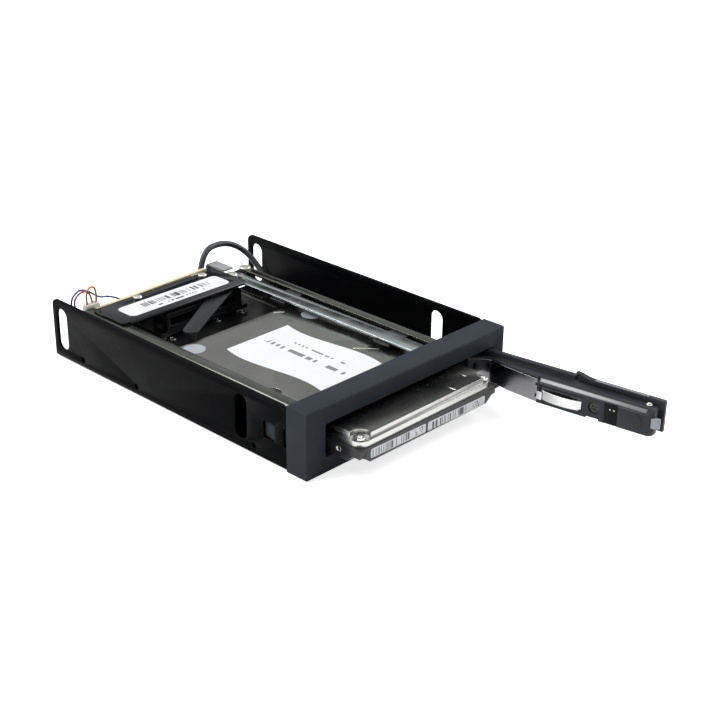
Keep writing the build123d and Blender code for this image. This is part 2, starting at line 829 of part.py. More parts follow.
# Ejector: a link bar driven by the door's crank pin, and the lever that pushes the drive out
crank_turn = radians(180 + door_open_angle / 2)
crank_y = pivot_y + crank_radius * sin(crank_turn)
fork_slot = crank_pin_radius + moving_gap
fork_end = pivot_x - hinge_pin_radius - moving_gap
with BuildPart() as link_bar:
    with BuildSketch(level(link_bottom)):
        bar_front = crank_y - fork_slot - fork_prong
        bar_back = link_rivet_y + link_width / 2
        with Locations(((link_left + link_right) / 2, (bar_front + bar_back) / 2)):
            Rectangle(link_width, bar_back - bar_front)
        with Locations(((link_left + fork_end) / 2, crank_y)):
            Rectangle(fork_end - link_left, 2 * (fork_slot + fork_prong))
        slot_depth = fork_end - pivot_x + crank_radius + crank_pin_radius + moving_gap
        with Locations((fork_end, crank_y)):
            Rectangle(2 * slot_depth, 2 * fork_slot, mode=Mode.SUBTRACT)
    extrude(amount=link_sheet)
    bar_corners = link_bar.edges().filter_by(Axis.Z).group_by(Axis.Y)[-1]
    fillet(bar_corners, radius=link_width / 2.4)
    with Locations(level(link_top)):
        with Locations((link_rivet_x, link_rivet_y)):
            Hole(link_rivet_radius + press_gap)
link_bar.part.label = "link_bar"

with BuildPart() as link_rivet:
    for bottom, radius, height in (
        (link_top, rivet_head_radius, rivet_head_height),
        (lever_bottom - link_drop, link_rivet_radius, link_top - lever_bottom + link_drop),
        (lever_bottom - link_drop - rivet_head_height, rivet_head_radius, rivet_head_height),
    ):
        with BuildSketch(level(bottom)):
            with Locations((link_rivet_x, link_rivet_y)):
                Circle(radius)
        extrude(amount=height)
    fillet(link_rivet.faces().sort_by(Axis.Z)[-1].edges(), radius=rivet_head_height / 1.6)
link_rivet.part.label = "link_rivet"

with BuildPart() as lever_pivot:
    for bottom, radius, height in (
        (cage_top_level, rivet_head_radius + 0.4, rivet_head_height),
        (lever_bottom - link_drop, lever_pivot_radius, cage_top_level - lever_bottom + link_drop),
        (lever_top + link_drop, rivet_head_radius, flange_bottom - lever_top - link_drop),
        (lever_bottom - link_drop - rivet_head_height, rivet_head_radius, rivet_head_height),
    ):
        with BuildSketch(level(bottom)):
            with Locations((lever_x, lever_y)):
                Circle(radius)
        extrude(amount=height)
    fillet(lever_pivot.faces().sort_by(Axis.Z)[-1].edges(), radius=rivet_head_height / 1.6)
lever_pivot.part.label = "lever_pivot"

lever_turn = radians(lever_rest_angle)
lever_tip = (lever_x + lever_radius * cos(lever_turn), lever_y + lever_radius * sin(lever_turn))
with BuildPart() as ejector_lever:
    with BuildSketch(level(lever_bottom)):
        with Locations((lever_x, lever_y)):
            Circle(lever_width / 2)
        with Locations((link_rivet_x, link_rivet_y)):
            Circle(lever_width * 0.62)
        make_hull()
    extrude(amount=lever_sheet)
    with BuildSketch(level(lever_bottom)):
        with Locations((link_rivet_x, link_rivet_y)):
            Circle(lever_width * 0.62)
        with Locations(lever_tip):
            Circle(lever_width * 0.47)
        make_hull()
    extrude(amount=lever_sheet)
    with BuildSketch(level(lever_bottom)):
        with Locations((lever_x, lever_y)):
            Circle(lever_pivot_radius + running_gap)
        with Locations((link_rivet_x, link_rivet_y)):
            SlotOverall(
                2 * (link_rivet_radius + moving_gap) + 0.4,
                2 * (link_rivet_radius + moving_gap),
                rotation=link_rivet_angle,
            )
    extrude(amount=lever_sheet, mode=Mode.SUBTRACT)
    with BuildSketch(level(lever_bottom)):
        with Locations(lever_tip):
            Rectangle(lever_tab_width, lever_tab_thickness, rotation=lever_sweep / 2)
    extrude(amount=-lever_tab_height)
    tab_corners = ejector_lever.edges().group_by(Axis.Z)[0].sort_by(Axis.X)
    chamfer((tab_corners[0], tab_corners[-1]), length=0.5)
ejector_lever.part.label = "ejector_lever"

# Guides under the fixed flange that the link bar slides over
with BuildPart() as link_guides:
    guide_top = link_bottom - link_drop
    guide_right = cage_right - cage_fold_radius
    for guide_inset in link_guide_insets:
        with BuildSketch(facing_front(cage_front + guide_inset + link_guide_length)):
            with BuildLine():
                Polyline(
                    (link_left - link_guide_overhang, guide_top),
                    (link_right + moving_gap, guide_top),
                    (link_right + moving_gap, cage_top_level - cage_sheet),
                    (guide_right, cage_top_level - cage_sheet),
                    (guide_right, guide_top - cage_sheet),
                    (link_left - link_guide_overhang, guide_top - cage_sheet),
                    close=True,
                )
            make_face()
        extrude(amount=link_guide_length)
link_guides.part.label = "link_guides"

# Door shell, in its own directions: reach from the hinge, and depth towards its face
door_face = hinge_setback
latch_seat = door_face - latch_lever_thickness - moving_gap
latch_pin_b = door_inner + latch_pin_depth
cam_start = hinge_pin_radius + 1.6
cam_run = cam_end - cam_centre
cam_points = (
    (cam_start, door_inner),
    (0.64 * cam_centre, door_inner + 0.52 * cam_depth),
    (cam_centre, door_inner + cam_depth),
    (cam_centre + 0.31 * cam_run, door_inner + 0.71 * cam_depth),
    (cam_centre + 0.67 * cam_run, door_inner + 0.3 * cam_depth),
    (cam_end, door_inner),
)
tail_drop = (door_reach - latch_pin_reach) * tan(radians(latch_lever_swing)) + moving_gap
bolt_bottom = bolt_level - bolt_height / 2
bolt_low = door_inner + bolt_wall
pocket_half = knuckle_radius + 2 * moving_gap
knuckle_floor = bolt_bottom - moving_gap - knuckle_height
knuckle_roof = bolt_bottom + bolt_height + moving_gap + knuckle_height
with BuildPart() as door_shell:
    with BuildSketch(door_level(door_bottom)) as door_outline:
        with BuildLine():
            Polyline(
                (-door_heel, door_inner),
                (-door_heel, door_face),
                (latch_lever_start - moving_gap, door_face),
                (latch_lever_start + 3 * moving_gap, latch_seat),
                (latch_pin_reach + moving_gap, latch_seat),
                (door_reach, latch_seat - tail_drop),
                (door_reach, door_inner),
                close=True,
            )
        make_face()
        fillet(door_outline.vertices().group_by(Axis.X)[0], radius=door_corner_radius)
        fillet(door_outline.vertices().group_by(Axis.X)[-1].sort_by(Axis.Y)[0], radius=door_end_radius)
    extrude(amount=door_step_height)
    with BuildSketch(door_level(door_body_top)) as plate_outline:
        with Locations(
            (
                (latch_lever_start - moving_gap - door_heel) / 2,
                door_face - door_face_plate / 2,
            )
        ):
            Rectangle(latch_lever_start - moving_gap + door_heel, door_face_plate)
        heel_corner = plate_outline.vertices().group_by(Axis.X)[0].sort_by(Axis.Y)[-1]
        fillet(heel_corner, radius=door_corner_radius)
    extrude(amount=door_top - door_body_top)
    with BuildSketch(door_section(cam_end)):
        with BuildLine():
            Polyline(
                (door_inner, door_body_top),
                (door_inner + door_rim_chamfer, door_body_top),
                (door_inner, door_body_top - door_rim_chamfer),
                close=True,
            )
        make_face()
    extrude(amount=door_reach - cam_end, mode=Mode.SUBTRACT)
    with BuildSketch(door_level(door_bottom)):
        with BuildLine():
            Spline(*[(a, b + band_thickness) for a, b in cam_points])
            Polyline(
                (cam_end, door_inner + band_thickness),
                (cam_end, door_inner - 1),
                (cam_start, door_inner - 1),
                (cam_start, door_inner + band_thickness),
            )
        make_face()
    extrude(amount=door_step_height, mode=Mode.SUBTRACT)
    with BuildSketch(door_level(door_bottom)):
        Circle(hinge_pin_radius + running_gap)
        with Locations((latch_pin_reach, latch_pin_b)):
            Circle(latch_pin_radius + press_gap)
    extrude(amount=door_step_height, mode=Mode.SUBTRACT)
    with BuildSketch(door_level(knuckle_floor - moving_gap)):
        with Locations((latch_pin_reach, latch_pin_b + latch_lever_thickness)):
            Rectangle(2 * pocket_half, 2 * (latch_lever_thickness + knuckle_radius + moving_gap))
    extrude(amount=knuckle_roof - knuckle_floor + 2 * moving_gap, mode=Mode.SUBTRACT)
    bolt_tip = pivot_x - opening_left - bolt_jamb_gap
    bolt_heel = bolt_tip - bolt_length
    with BuildSketch(door_level(bolt_bottom - running_gap)):
        with Locations((bolt_heel - bolt_travel - moving_gap, bolt_low - running_gap)):
            Rectangle(
                door_reach,
                bolt_width + 2 * running_gap,
                align=(Align.MIN, Align.MIN),
            )
    extrude(amount=bolt_height + 2 * running_gap, mode=Mode.SUBTRACT)
    with BuildSketch(door_inside(door_inner)):
        with Locations((spring_start + spring_length / 2, spring_level + spring_recess)):
            Rectangle(spring_length + 2 * spring_recess, spring_width + 2.5 * spring_recess)
    extrude(amount=-spring_recess, mode=Mode.SUBTRACT)
    with BuildSketch(door_inside(door_inner)):
        with Locations((window_start + window_width / 2, window_level)):
            Rectangle(window_width, window_height)
        with Locations((lock_reach, lock_level)):
            Circle(lock_radius)
        with Locations((door_notch_start + door_notch_length / 2, door_bottom)):
            Rectangle(door_notch_length, 2 * door_notch_height)
    extrude(amount=-pocket_depth, mode=Mode.SUBTRACT)
    with BuildSketch(door_inside(door_inner)):
        with Locations((boss_reach, bolt_level - 0.8)):
            Circle(boss_radius)
    extrude(amount=boss_rise)
door_shell.part.label = "door_shell"

with BuildPart() as steel_band:
    with BuildSketch(door_level(door_bottom + band_inset)):
        with BuildLine():
            Spline(*cam_points)
            Line((cam_end, door_inner), (cam_end, door_inner + band_thickness))
            Spline(*[(a, b + band_thickness) for a, b in reversed(cam_points)])
            Line((cam_start, door_inner + band_thickness), (cam_start, door_inner))
        make_face()
    extrude(amount=door_step_height - 3 * band_inset)
    with BuildSketch(door_inside(door_inner - 1)):
        band_middle = door_bottom + door_step_height / 2
        with Locations((cam_end, band_middle - 2.2), (cam_end, band_middle + 2.2)):
            Rectangle(1.6, 1.4)
    extrude(amount=-3, mode=Mode.SUBTRACT)
steel_band.part.label = "steel_band"

with BuildPart() as crank_hub:
    with BuildSketch(door_level(door_body_top)):
        Circle(3 * hinge_pin_radius)
        Circle(hinge_pin_radius + running_gap, mode=Mode.SUBTRACT)
    extrude(amount=door_top - door_body_top)
    with BuildSketch(level(door_top - 0.2)):
        with Locations((pivot_x + crank_radius * cos(crank_turn), crank_y)):
            Circle(crank_pin_radius)
    extrude(amount=link_top - door_top + 0.2)
crank_hub.part.label = "crank_hub"

with BuildPart() as leaf_spring:
    spring_seat = door_inner + spring_recess - spring_thickness
    spring_end = spring_start + spring_length
    spring_mid = (spring_start + spring_end) / 2
    with BuildSketch(door_level(spring_level - spring_width / 2)):
        with BuildLine():
            ThreePointArc(
                (spring_start, spring_seat),
                (spring_mid, spring_seat - spring_bow),
                (spring_end, spring_seat),
            )
            Line((spring_end, spring_seat), (spring_end, spring_seat + spring_thickness))
            ThreePointArc(
                (spring_end, spring_seat + spring_thickness),
                (spring_mid, spring_seat + spring_thickness - spring_bow),
                (spring_start, spring_seat + spring_thickness),
            )
            Line((spring_start, spring_seat + spring_thickness), (spring_start, spring_seat))
        make_face()
    extrude(amount=spring_width)
leaf_spring.part.label = "leaf_spring"

with BuildPart() as light_window:
    with BuildSketch(door_inside(door_inner + pocket_depth)):
        with Locations((window_start + window_width / 2, window_level)):
            Rectangle(window_width, window_height)
    extrude(amount=pocket_depth)
    light_places = ((window_start + 2.3, window_level + 2.25), (window_start + 3.7, window_level + 1.55))
    with BuildSketch(door_inside(door_inner)):
        with Locations(*light_places):
            Circle(0.4)
    extrude(amount=-pocket_depth / 2, mode=Mode.SUBTRACT)
light_window.part.label = "light_window"

with BuildPart() as light_pipes:
    with BuildSketch(door_inside(door_inner + pocket_depth / 2)):
        with Locations(*light_places):
            Circle(0.4)
    extrude(amount=pocket_depth / 2)
light_pipes.part.label = "light_pipes"

with BuildPart() as lock_screw:
    with BuildSketch(door_inside(door_inner + pocket_depth)):
        with Locations((lock_reach, lock_level)):
            Circle(lock_radius - 0.2)
    extrude(amount=pocket_depth * 0.7)
    with BuildSketch(door_inside(door_inner)):
        with Locations((lock_reach, lock_level)):
            Rectangle(lock_radius * 1.3, 0.5, rotation=35)
            Rectangle(0.5, lock_radius * 1.3, rotation=35)
    extrude(amount=-pocket_depth * 0.6, mode=Mode.SUBTRACT)
lock_screw.part.label = "lock_screw"

with BuildPart() as latch_pin:
    with BuildSketch(door_level(door_bottom)):
        with Locations((latch_pin_reach, latch_pin_b)):
            Circle(latch_pin_radius)
    extrude(amount=door_step_height)
latch_pin.part.label = "latch_pin"

# Latch lever along the outside of the door, with a curled thumb edge and three knuckles
latch_inner = door_face - latch_lever_thickness
latch_end = latch_pin_reach + latch_tail
with BuildPart() as latch_lever:
    with BuildSketch(door_level(door_bottom)):
        with BuildLine():
            curl_top = Vector(latch_lever_start + thumb_lip, door_face + thumb_rise)
            curl_low = Vector(latch_lever_start, door_face + thumb_rise * 0.55)
            Polyline(
                (latch_lever_start + thumb_run, latch_inner),
                (latch_end, latch_inner),
                (latch_end, door_face - 0.6),
                (latch_end - 0.6, door_face),
                (latch_lever_start + thumb_run, door_face),
            )
            Spline(
                (latch_lever_start + thumb_run, door_face),
                (latch_lever_start + thumb_bend, door_face + thumb_rise * 0.45),
                curl_top,
                tangents=((-1, 0), (-1, 0.1)),
            )
            ThreePointArc(curl_top, (latch_lever_start + 0.2, door_face + thumb_rise * 0.9), curl_low)
            Spline(
                curl_low,
                (latch_lever_start + thumb_bend, latch_inner + thumb_rise * 0.35),
                (latch_lever_start + thumb_run, latch_inner),
                tangents=((1, -0.4), (1, 0)),
            )
        make_face()
    extrude(amount=door_top - door_bottom)
    rings = (
        (knuckle_floor, knuckle_height),
        (bolt_level - finger_height / 2, finger_height),
        (knuckle_roof - knuckle_height, knuckle_height),
    )
    for ring_bottom, ring_height in rings:
        with BuildSketch(door_level(ring_bottom)):
            with Locations((latch_pin_reach, latch_pin_b)):
                Circle(knuckle_radius)
            with Locations((latch_pin_reach, (latch_pin_b + latch_inner + 0.5) / 2)):
                Rectangle(2 * knuckle_radius, latch_inner + 0.5 - latch_pin_b)
        extrude(amount=ring_height)
    with BuildSketch(door_level(bolt_level - finger_height / 2)):
        with Locations((latch_pin_reach, latch_pin_b)):
            with Locations((0, -finger_reach / 2)):
                Rectangle(finger_width, finger_reach)
    extrude(amount=finger_height)
    with BuildSketch(door_level(knuckle_floor)):
        with Locations((latch_pin_reach, latch_pin_b)):
            Circle(latch_pin_radius + running_gap)
    extrude(amount=knuckle_roof - knuckle_floor, mode=Mode.SUBTRACT)
latch_lever.part.label = "latch_lever"

with BuildPart() as latch_bolt:
    with BuildSketch(door_level(bolt_bottom)):
        with BuildLine():
            Polyline(
                (bolt_heel, bolt_low),
                (bolt_tip - bolt_width, bolt_low),
                (bolt_tip, bolt_low + bolt_width * 0.45),
                (bolt_tip, bolt_low + bolt_width),
                (bolt_heel, bolt_low + bolt_width),
                close=True,
            )
        make_face()
    extrude(amount=bolt_height)
    with BuildSketch(door_level(bolt_level - finger_height / 2 - moving_gap)):
        with Locations((latch_pin_reach, bolt_low + bolt_width / 2)):
            Rectangle(finger_width + 3 * moving_gap, 2 * bolt_width)
    extrude(amount=finger_height + 2 * moving_gap, mode=Mode.SUBTRACT)
latch_bolt.part.label = "latch_bolt"

# Drive: cast base, pressed cover, controller board below and plug at the rear
cover_bottom = drive_bottom + cover_level
cover_shoulder = cover_bottom + cover_rim
drive_middle = drive_front + drive_length / 2
with BuildPart() as drive_base:
    with BuildSketch(level(drive_bottom)):
        with Locations((drive_offset, drive_middle)):
            RectangleRounded(drive_width, drive_length, 1.0)
    extrude(amount=cover_level)
    with BuildSketch(level(drive_bottom + corner_shelf)):
        with Locations((drive_left, drive_front), (drive_right, drive_front)):
            Circle(corner_scoop)
    extrude(amount=cover_level, mode=Mode.SUBTRACT)
    board_place = (drive_offset, drive_front + drive_length * 0.57)
    with BuildSketch(level(drive_bottom)):
        with Locations(board_place):
            RectangleRounded(drive_width * 0.86, drive_length * 0.8, 3)
    extrude(amount=2 * drive_board_thickness, mode=Mode.SUBTRACT)
    plug_z = drive_bottom + drive_plug_height / 2
    with BuildSketch(facing_front(drive_back)):
        with Locations((receptacle_x, plug_z)):
            Rectangle(receptacle_width * 0.9, drive_plug_height)
    extrude(amount=drive_plug_depth, mode=Mode.SUBTRACT)
    for side in (-1, 1):
        with BuildSketch(facing_side(drive_offset + side * drive_width / 2)):
            for hole_y in (drive_hole_inset, drive_hole_inset + drive_hole_spacing):
                with Locations((drive_front + hole_y, drive_bottom + drive_hole_level)):
                    Circle(drive_hole_radius)
        extrude(amount=-side * 3.0, mode=Mode.SUBTRACT)
drive_base.part.label = "drive_base"

with BuildPart() as drive_board:
    with BuildSketch(level(drive_bottom + 0.2)):
        with Locations(board_place):
            RectangleRounded(drive_width * 0.86 - 0.4, drive_length * 0.8 - 0.4, 2.8)
        with Locations((receptacle_x, drive_back - 3.0)):
            Rectangle(receptacle_width, 10, mode=Mode.SUBTRACT)
    extrude(amount=drive_board_thickness)
    with BuildSketch(level(drive_bottom + 0.2 + drive_board_thickness)):
        with Locations((board_place[0] - 10, board_place[1] - 8)):
            Rectangle(14, 14)
        with Locations((board_place[0] + 14, board_place[1] + 14)):
            Rectangle(10, 7)
    extrude(amount=0.8 * drive_board_thickness)
drive_board.part.label = "drive_board"

with BuildPart() as drive_plug:
    with BuildSketch(facing_front(drive_back)):
        with Locations((receptacle_x, plug_z)):
            Rectangle(receptacle_width * 0.9 - 2 * running_gap, drive_plug_height - 2 * running_gap)
        with Locations((receptacle_x, plug_z + 0.2)):
            Rectangle(receptacle_width * 0.84, 3.6, mode=Mode.SUBTRACT)
    extrude(amount=drive_plug_depth - drive_plug_wall)
    with BuildSketch(facing_front(drive_back)):
        with Locations((receptacle_x - receptacle_width * 0.16, plug_z)):
            Rectangle(receptacle_width * 0.46, 1.2)
        with Locations((receptacle_x + receptacle_width * 0.27, plug_z)):
            Rectangle(receptacle_width * 0.22, 1.2)
    extrude(amount=drive_plug_depth - drive_plug_wall)
    with BuildSketch(facing_front(drive_back - drive_plug_depth + drive_plug_wall)):
        with Locations((receptacle_x, plug_z)):
            Rectangle(receptacle_width * 0.9 - 2 * running_gap, drive_plug_height - 2 * running_gap)
    extrude(amount=drive_plug_wall)
drive_plug.part.label = "drive_plug"

with BuildPart() as drive_cover:
    with BuildSketch(level(cover_bottom)):
        with Locations((drive_offset, drive_middle)):
            RectangleRounded(cover_width, drive_length - 2 * cover_front_gap, cover_radius)
    extrude(amount=cover_rim)
    chamfer(drive_cover.faces().sort_by(Axis.Z)[-1].edges(), length=cover_bevel)
    plateau_length = drive_length - plateau_front - plateau_back
    plateau_y = drive_front + plateau_front + plateau_length / 2
    with BuildSketch(level(cover_shoulder - 0.05)):
        with Locations((drive_offset, plateau_y)):
            RectangleRounded(cover_width - 2 * plateau_inset, plateau_length, 9)
        with Locations((drive_offset, drive_front + spindle_reach)):
            Circle(spindle_radius)
    extrude(amount=drive_top - cover_shoulder + 0.05, taper=30)
    with BuildSketch(level(drive_top)):
        with Locations((drive_offset, drive_front + spindle_reach)):
            Circle(spindle_radius - 3.2)
            Circle(spindle_radius - 3.2 - spindle_ring, mode=Mode.SUBTRACT)
    extrude(amount=-0.25, mode=Mode.SUBTRACT)
drive_cover.part.label = "drive_cover"

cover_screw_places = (
    (-cover_width / 2 + 3.4, cover_front_gap + 3.4),
    (cover_width / 2 - 3.4, cover_front_gap + 3.4),
    (-cover_width / 2 + 3.2, drive_length * 0.93),
    (cover_width / 2 - 3.2, drive_length * 0.845),
    (-cover_width / 2 + 3.2, drive_length * 0.46),
)
with BuildPart() as cover_screws:
    for screw_x, screw_y in cover_screw_places:
        with BuildSketch(level(cover_shoulder)):
            with Locations((drive_offset + screw_x, drive_front + screw_y)):
                Circle(cover_screw_radius)
                RegularPolygon(cover_screw_radius * 0.42, 6, mode=Mode.SUBTRACT)
        extrude(amount=0.7)
cover_screws.part.label = "cover_screws"

label_y0 = drive_front + spindle_reach - 1.3
with BuildPart() as cover_label:
    with BuildSketch(level(drive_top)):
        with BuildLine():
            half_w = label_width / 2
            half_l = label_length / 2
            label_cx = drive_offset - 2.75
            label_cy = label_y0 + half_l - 1.0
            wave = 1.3
            Spline(
                (label_cx + half_w, label_cy - half_l),
                (label_cx + half_w + wave, label_cy - half_l * 0.45),
                (label_cx + half_w - wave, label_cy + half_l * 0.35),
                (label_cx + half_w, label_cy + half_l),
            )
            Line((label_cx + half_w, label_cy + half_l), (label_cx - half_w, label_cy + half_l))
            Spline(
                (label_cx - half_w, label_cy + half_l),
                (label_cx - half_w - wave, label_cy + half_l * 0.35),
                (label_cx - half_w + wave, label_cy - half_l * 0.45),
                (label_cx - half_w, label_cy - half_l),
            )
            Line((label_cx - half_w, label_cy - half_l), (label_cx + half_w, label_cy - half_l))
        make_face()
    extrude(amount=label_thickness)
cover_label.part.label = "cover_label"

with BuildPart() as front_labels:
    block_left = drive_left + corner_scoop
    block_width = drive_width - 2 * corner_scoop
    with BuildSketch(facing_front(drive_front)):
        with Locations((block_left + block_width * 0.27, drive_bottom + cover_level / 2)):
            Rectangle(block_width * 0.48, cover_level - 1.0)
        with Locations((block_left + block_width * 0.76, drive_bottom + cover_level / 2)):
            Rectangle(block_width * 0.44, cover_level - 1.0)
    extrude(amount=label_thickness)
front_labels.part.label = "front_labels"

for piece in (
    bay_frame,
    front_bezel,
    hinge_pin,
    drive_cage,
    cage_standoffs,
    cage_screws,
    rear_cross_plate,
    plate_screws,
    rear_label,
    backplane_board,
    board_clips,
    board_bracket,
    connector_board,
    board_posts,
    drive_receptacle,
    rear_socket,
    wire_connector,
    wire_header,
    sleeved_cable,
    cable_root,
    cable_plug,
    link_bar,
    link_rivet,
    lever_pivot,
    ejector_lever,
    link_guides,
    door_shell,
    steel_band,
    crank_hub,
    leaf_spring,
    light_window,
    light_pipes,
    lock_screw,
    latch_pin,
    latch_lever,
    latch_bolt,
    drive_base,
    drive_board,
    drive_plug,
    drive_cover,
    cover_screws,
    cover_label,
    front_labels,
):
    export_step(piece.part, "parts/" + piece.part.label + ".step")
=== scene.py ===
"""Looks of a bay rack that holds one small disk drive behind a hinged door.

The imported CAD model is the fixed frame. This script adds its finishes, bevels, leads,
printed labels and small fittings, a plain studio and a camera.
"""

from __future__ import annotations

import json
import logging
from dataclasses import dataclass
from enum import Enum
from math import atan2, radians, tan
from typing import Callable, Iterable

import bpy
from mathutils import Euler, Matrix, Vector

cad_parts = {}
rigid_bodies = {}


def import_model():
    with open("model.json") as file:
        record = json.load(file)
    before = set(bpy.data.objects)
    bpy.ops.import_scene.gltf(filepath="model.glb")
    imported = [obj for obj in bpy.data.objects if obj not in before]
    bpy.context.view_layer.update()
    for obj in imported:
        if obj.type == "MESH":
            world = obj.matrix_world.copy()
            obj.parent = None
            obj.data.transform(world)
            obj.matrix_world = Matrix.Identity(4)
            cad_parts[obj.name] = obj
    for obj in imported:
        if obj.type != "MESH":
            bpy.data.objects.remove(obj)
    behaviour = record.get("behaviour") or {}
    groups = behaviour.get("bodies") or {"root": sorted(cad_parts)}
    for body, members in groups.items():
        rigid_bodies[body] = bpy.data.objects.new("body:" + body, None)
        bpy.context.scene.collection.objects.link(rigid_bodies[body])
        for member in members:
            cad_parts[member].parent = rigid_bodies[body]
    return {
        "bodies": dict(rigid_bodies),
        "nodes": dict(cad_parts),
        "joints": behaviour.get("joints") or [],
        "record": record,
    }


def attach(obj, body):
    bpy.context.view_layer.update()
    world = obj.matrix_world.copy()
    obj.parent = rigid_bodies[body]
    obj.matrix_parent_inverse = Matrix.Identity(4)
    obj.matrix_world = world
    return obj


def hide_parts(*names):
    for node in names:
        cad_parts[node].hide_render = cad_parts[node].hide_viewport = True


log = logging.getLogger("drive_rack")

MM = 0.001
NEAR = 0.01
WELD_REACH = 0.000002
FLAT_ANGLE = radians(0.6)
SMOOTH_ANGLE = radians(30)
SHARP_ANGLE = radians(32)
Colour = tuple[float, float, float]
Point = tuple[float, float, float]
Spot = tuple[float, float]
Box = tuple[Point, Point]
Route = tuple[Point, ...]
Piece = bpy.types.Object
Socket = bpy.types.NodeSocket
UP: Point = (0, 0, 1)


def millimetres(*values: float) -> Point:
    """Turns sizes in millimetres into metres."""
    return tuple(value * MM for value in values)


def opaque(colour: Colour) -> tuple[float, float, float, float]:
    """Adds a full alpha to a colour."""
    return (*colour, 1.0)


class Graph:
    """A node tree with short calls that add nodes and join them."""

    def __init__(self, tree: bpy.types.NodeTree) -> None:
        """Keeps a material's, a world's or a group's own tree."""
        self.tree = tree

    @classmethod
    def blank(cls, owner: bpy.types.Material | bpy.types.World) -> Graph:
        """Switches on an owner's nodes, clears them and gives their graph."""
        owner.use_nodes = True
        owner.node_tree.nodes.clear()
        return cls(owner.node_tree)

    def fill(self, socket: Socket, value) -> None:
        """Links an input to a value that is a socket, or else sets it."""
        if isinstance(value, Socket):
            self.tree.links.new(value, socket)
        else:
            socket.default_value = value

    def node(self, kind: str, inputs: dict | None = None, **settings) -> bpy.types.Node:
        """Adds a node.

        Args:
            kind: The node's Blender type.
            inputs: Values or sockets for its inputs, by name or number.
            **settings: Properties set before its inputs.

        Returns:
            The new node.
        """
        made = self.tree.nodes.new(kind)
        for name, value in settings.items():
            setattr(made, name, value)
        for key, value in (inputs or {}).items():
            self.fill(made.inputs[key], value)
        return made

    def math(self, operation: str, first, second=0.0, clamp: bool = False) -> Socket:
        """Joins two values by a Math node and returns its output."""
        settings = {"operation": operation, "use_clamp": clamp}
        return self.node("ShaderNodeMath", {0: first, 1: second}, **settings).outputs[0]

    def blend(self, share, first, second) -> Socket:
        """Blends two colours by a share and returns the colour."""
        inputs = {0: share, 6: first, 7: second}
        return self.node("ShaderNodeMix", inputs, data_type="RGBA").outputs[2]

    def spread(self, value, low: float, high: float) -> Socket:
        """Maps a value from 0-1 to low-high and returns it."""
        inputs = {"Value": value, "To Min": low, "To Max": high}
        return self.node("ShaderNodeMapRange", inputs).outputs[0]

    def ramp(self, value, start: float, end: float) -> Socket:
        """Rises from 0 where a value is at the start to 1 where it is at the end."""
        inputs = {"Value": value, "From Min": start, "From Max": end}
        return self.node("ShaderNodeMapRange", inputs).outputs[0]

    def axis(self, vector, index: int) -> Socket:
        """Gives one coordinate of a vector."""
        return self.node("ShaderNodeSeparateXYZ", {0: vector}).outputs[index]

    def noise(self, place, pitch: float, detail: float = 2.0) -> Socket:
        """Adds a noise whose grains are about a pitch across, in metres, and returns its value."""
        inputs = {"Vector": place, "Scale": 1 / pitch, "Detail": detail}
        return self.node("ShaderNodeTexNoise", inputs).outputs[0]

    def place(
        self, turn: Point = (0, 0, 0), scale: Point = (1, 1, 1), origin: Point = (0, 0, 0)
    ) -> Socket:
        """Gives the object coordinates, moved, turned and scaled.

        Args:
            turn: Turns about X, Y and Z in radians.
            scale: Scale along each axis.
            origin: The point that becomes the pattern's zero.

        Returns:
            The vector socket.
        """
        coordinates = self.node("ShaderNodeTexCoord").outputs["Object"]
        shifted = self.node("ShaderNodeVectorMath", {0: coordinates, 1: origin}, operation="SUBTRACT")
        inputs = {"Vector": shifted.outputs[0], "Rotation": turn, "Scale": scale}
        return self.node("ShaderNodeMapping", inputs).outputs[0]

    def use(self, group: bpy.types.NodeTree, **inputs) -> bpy.types.Node:
        """Places a node group with its inputs, spaces in their names given as underscores."""
        made = self.node("ShaderNodeGroup", node_tree=group)
        for name, value in inputs.items():
            self.fill(made.inputs[name.replace("_", " ")], value)
        return made


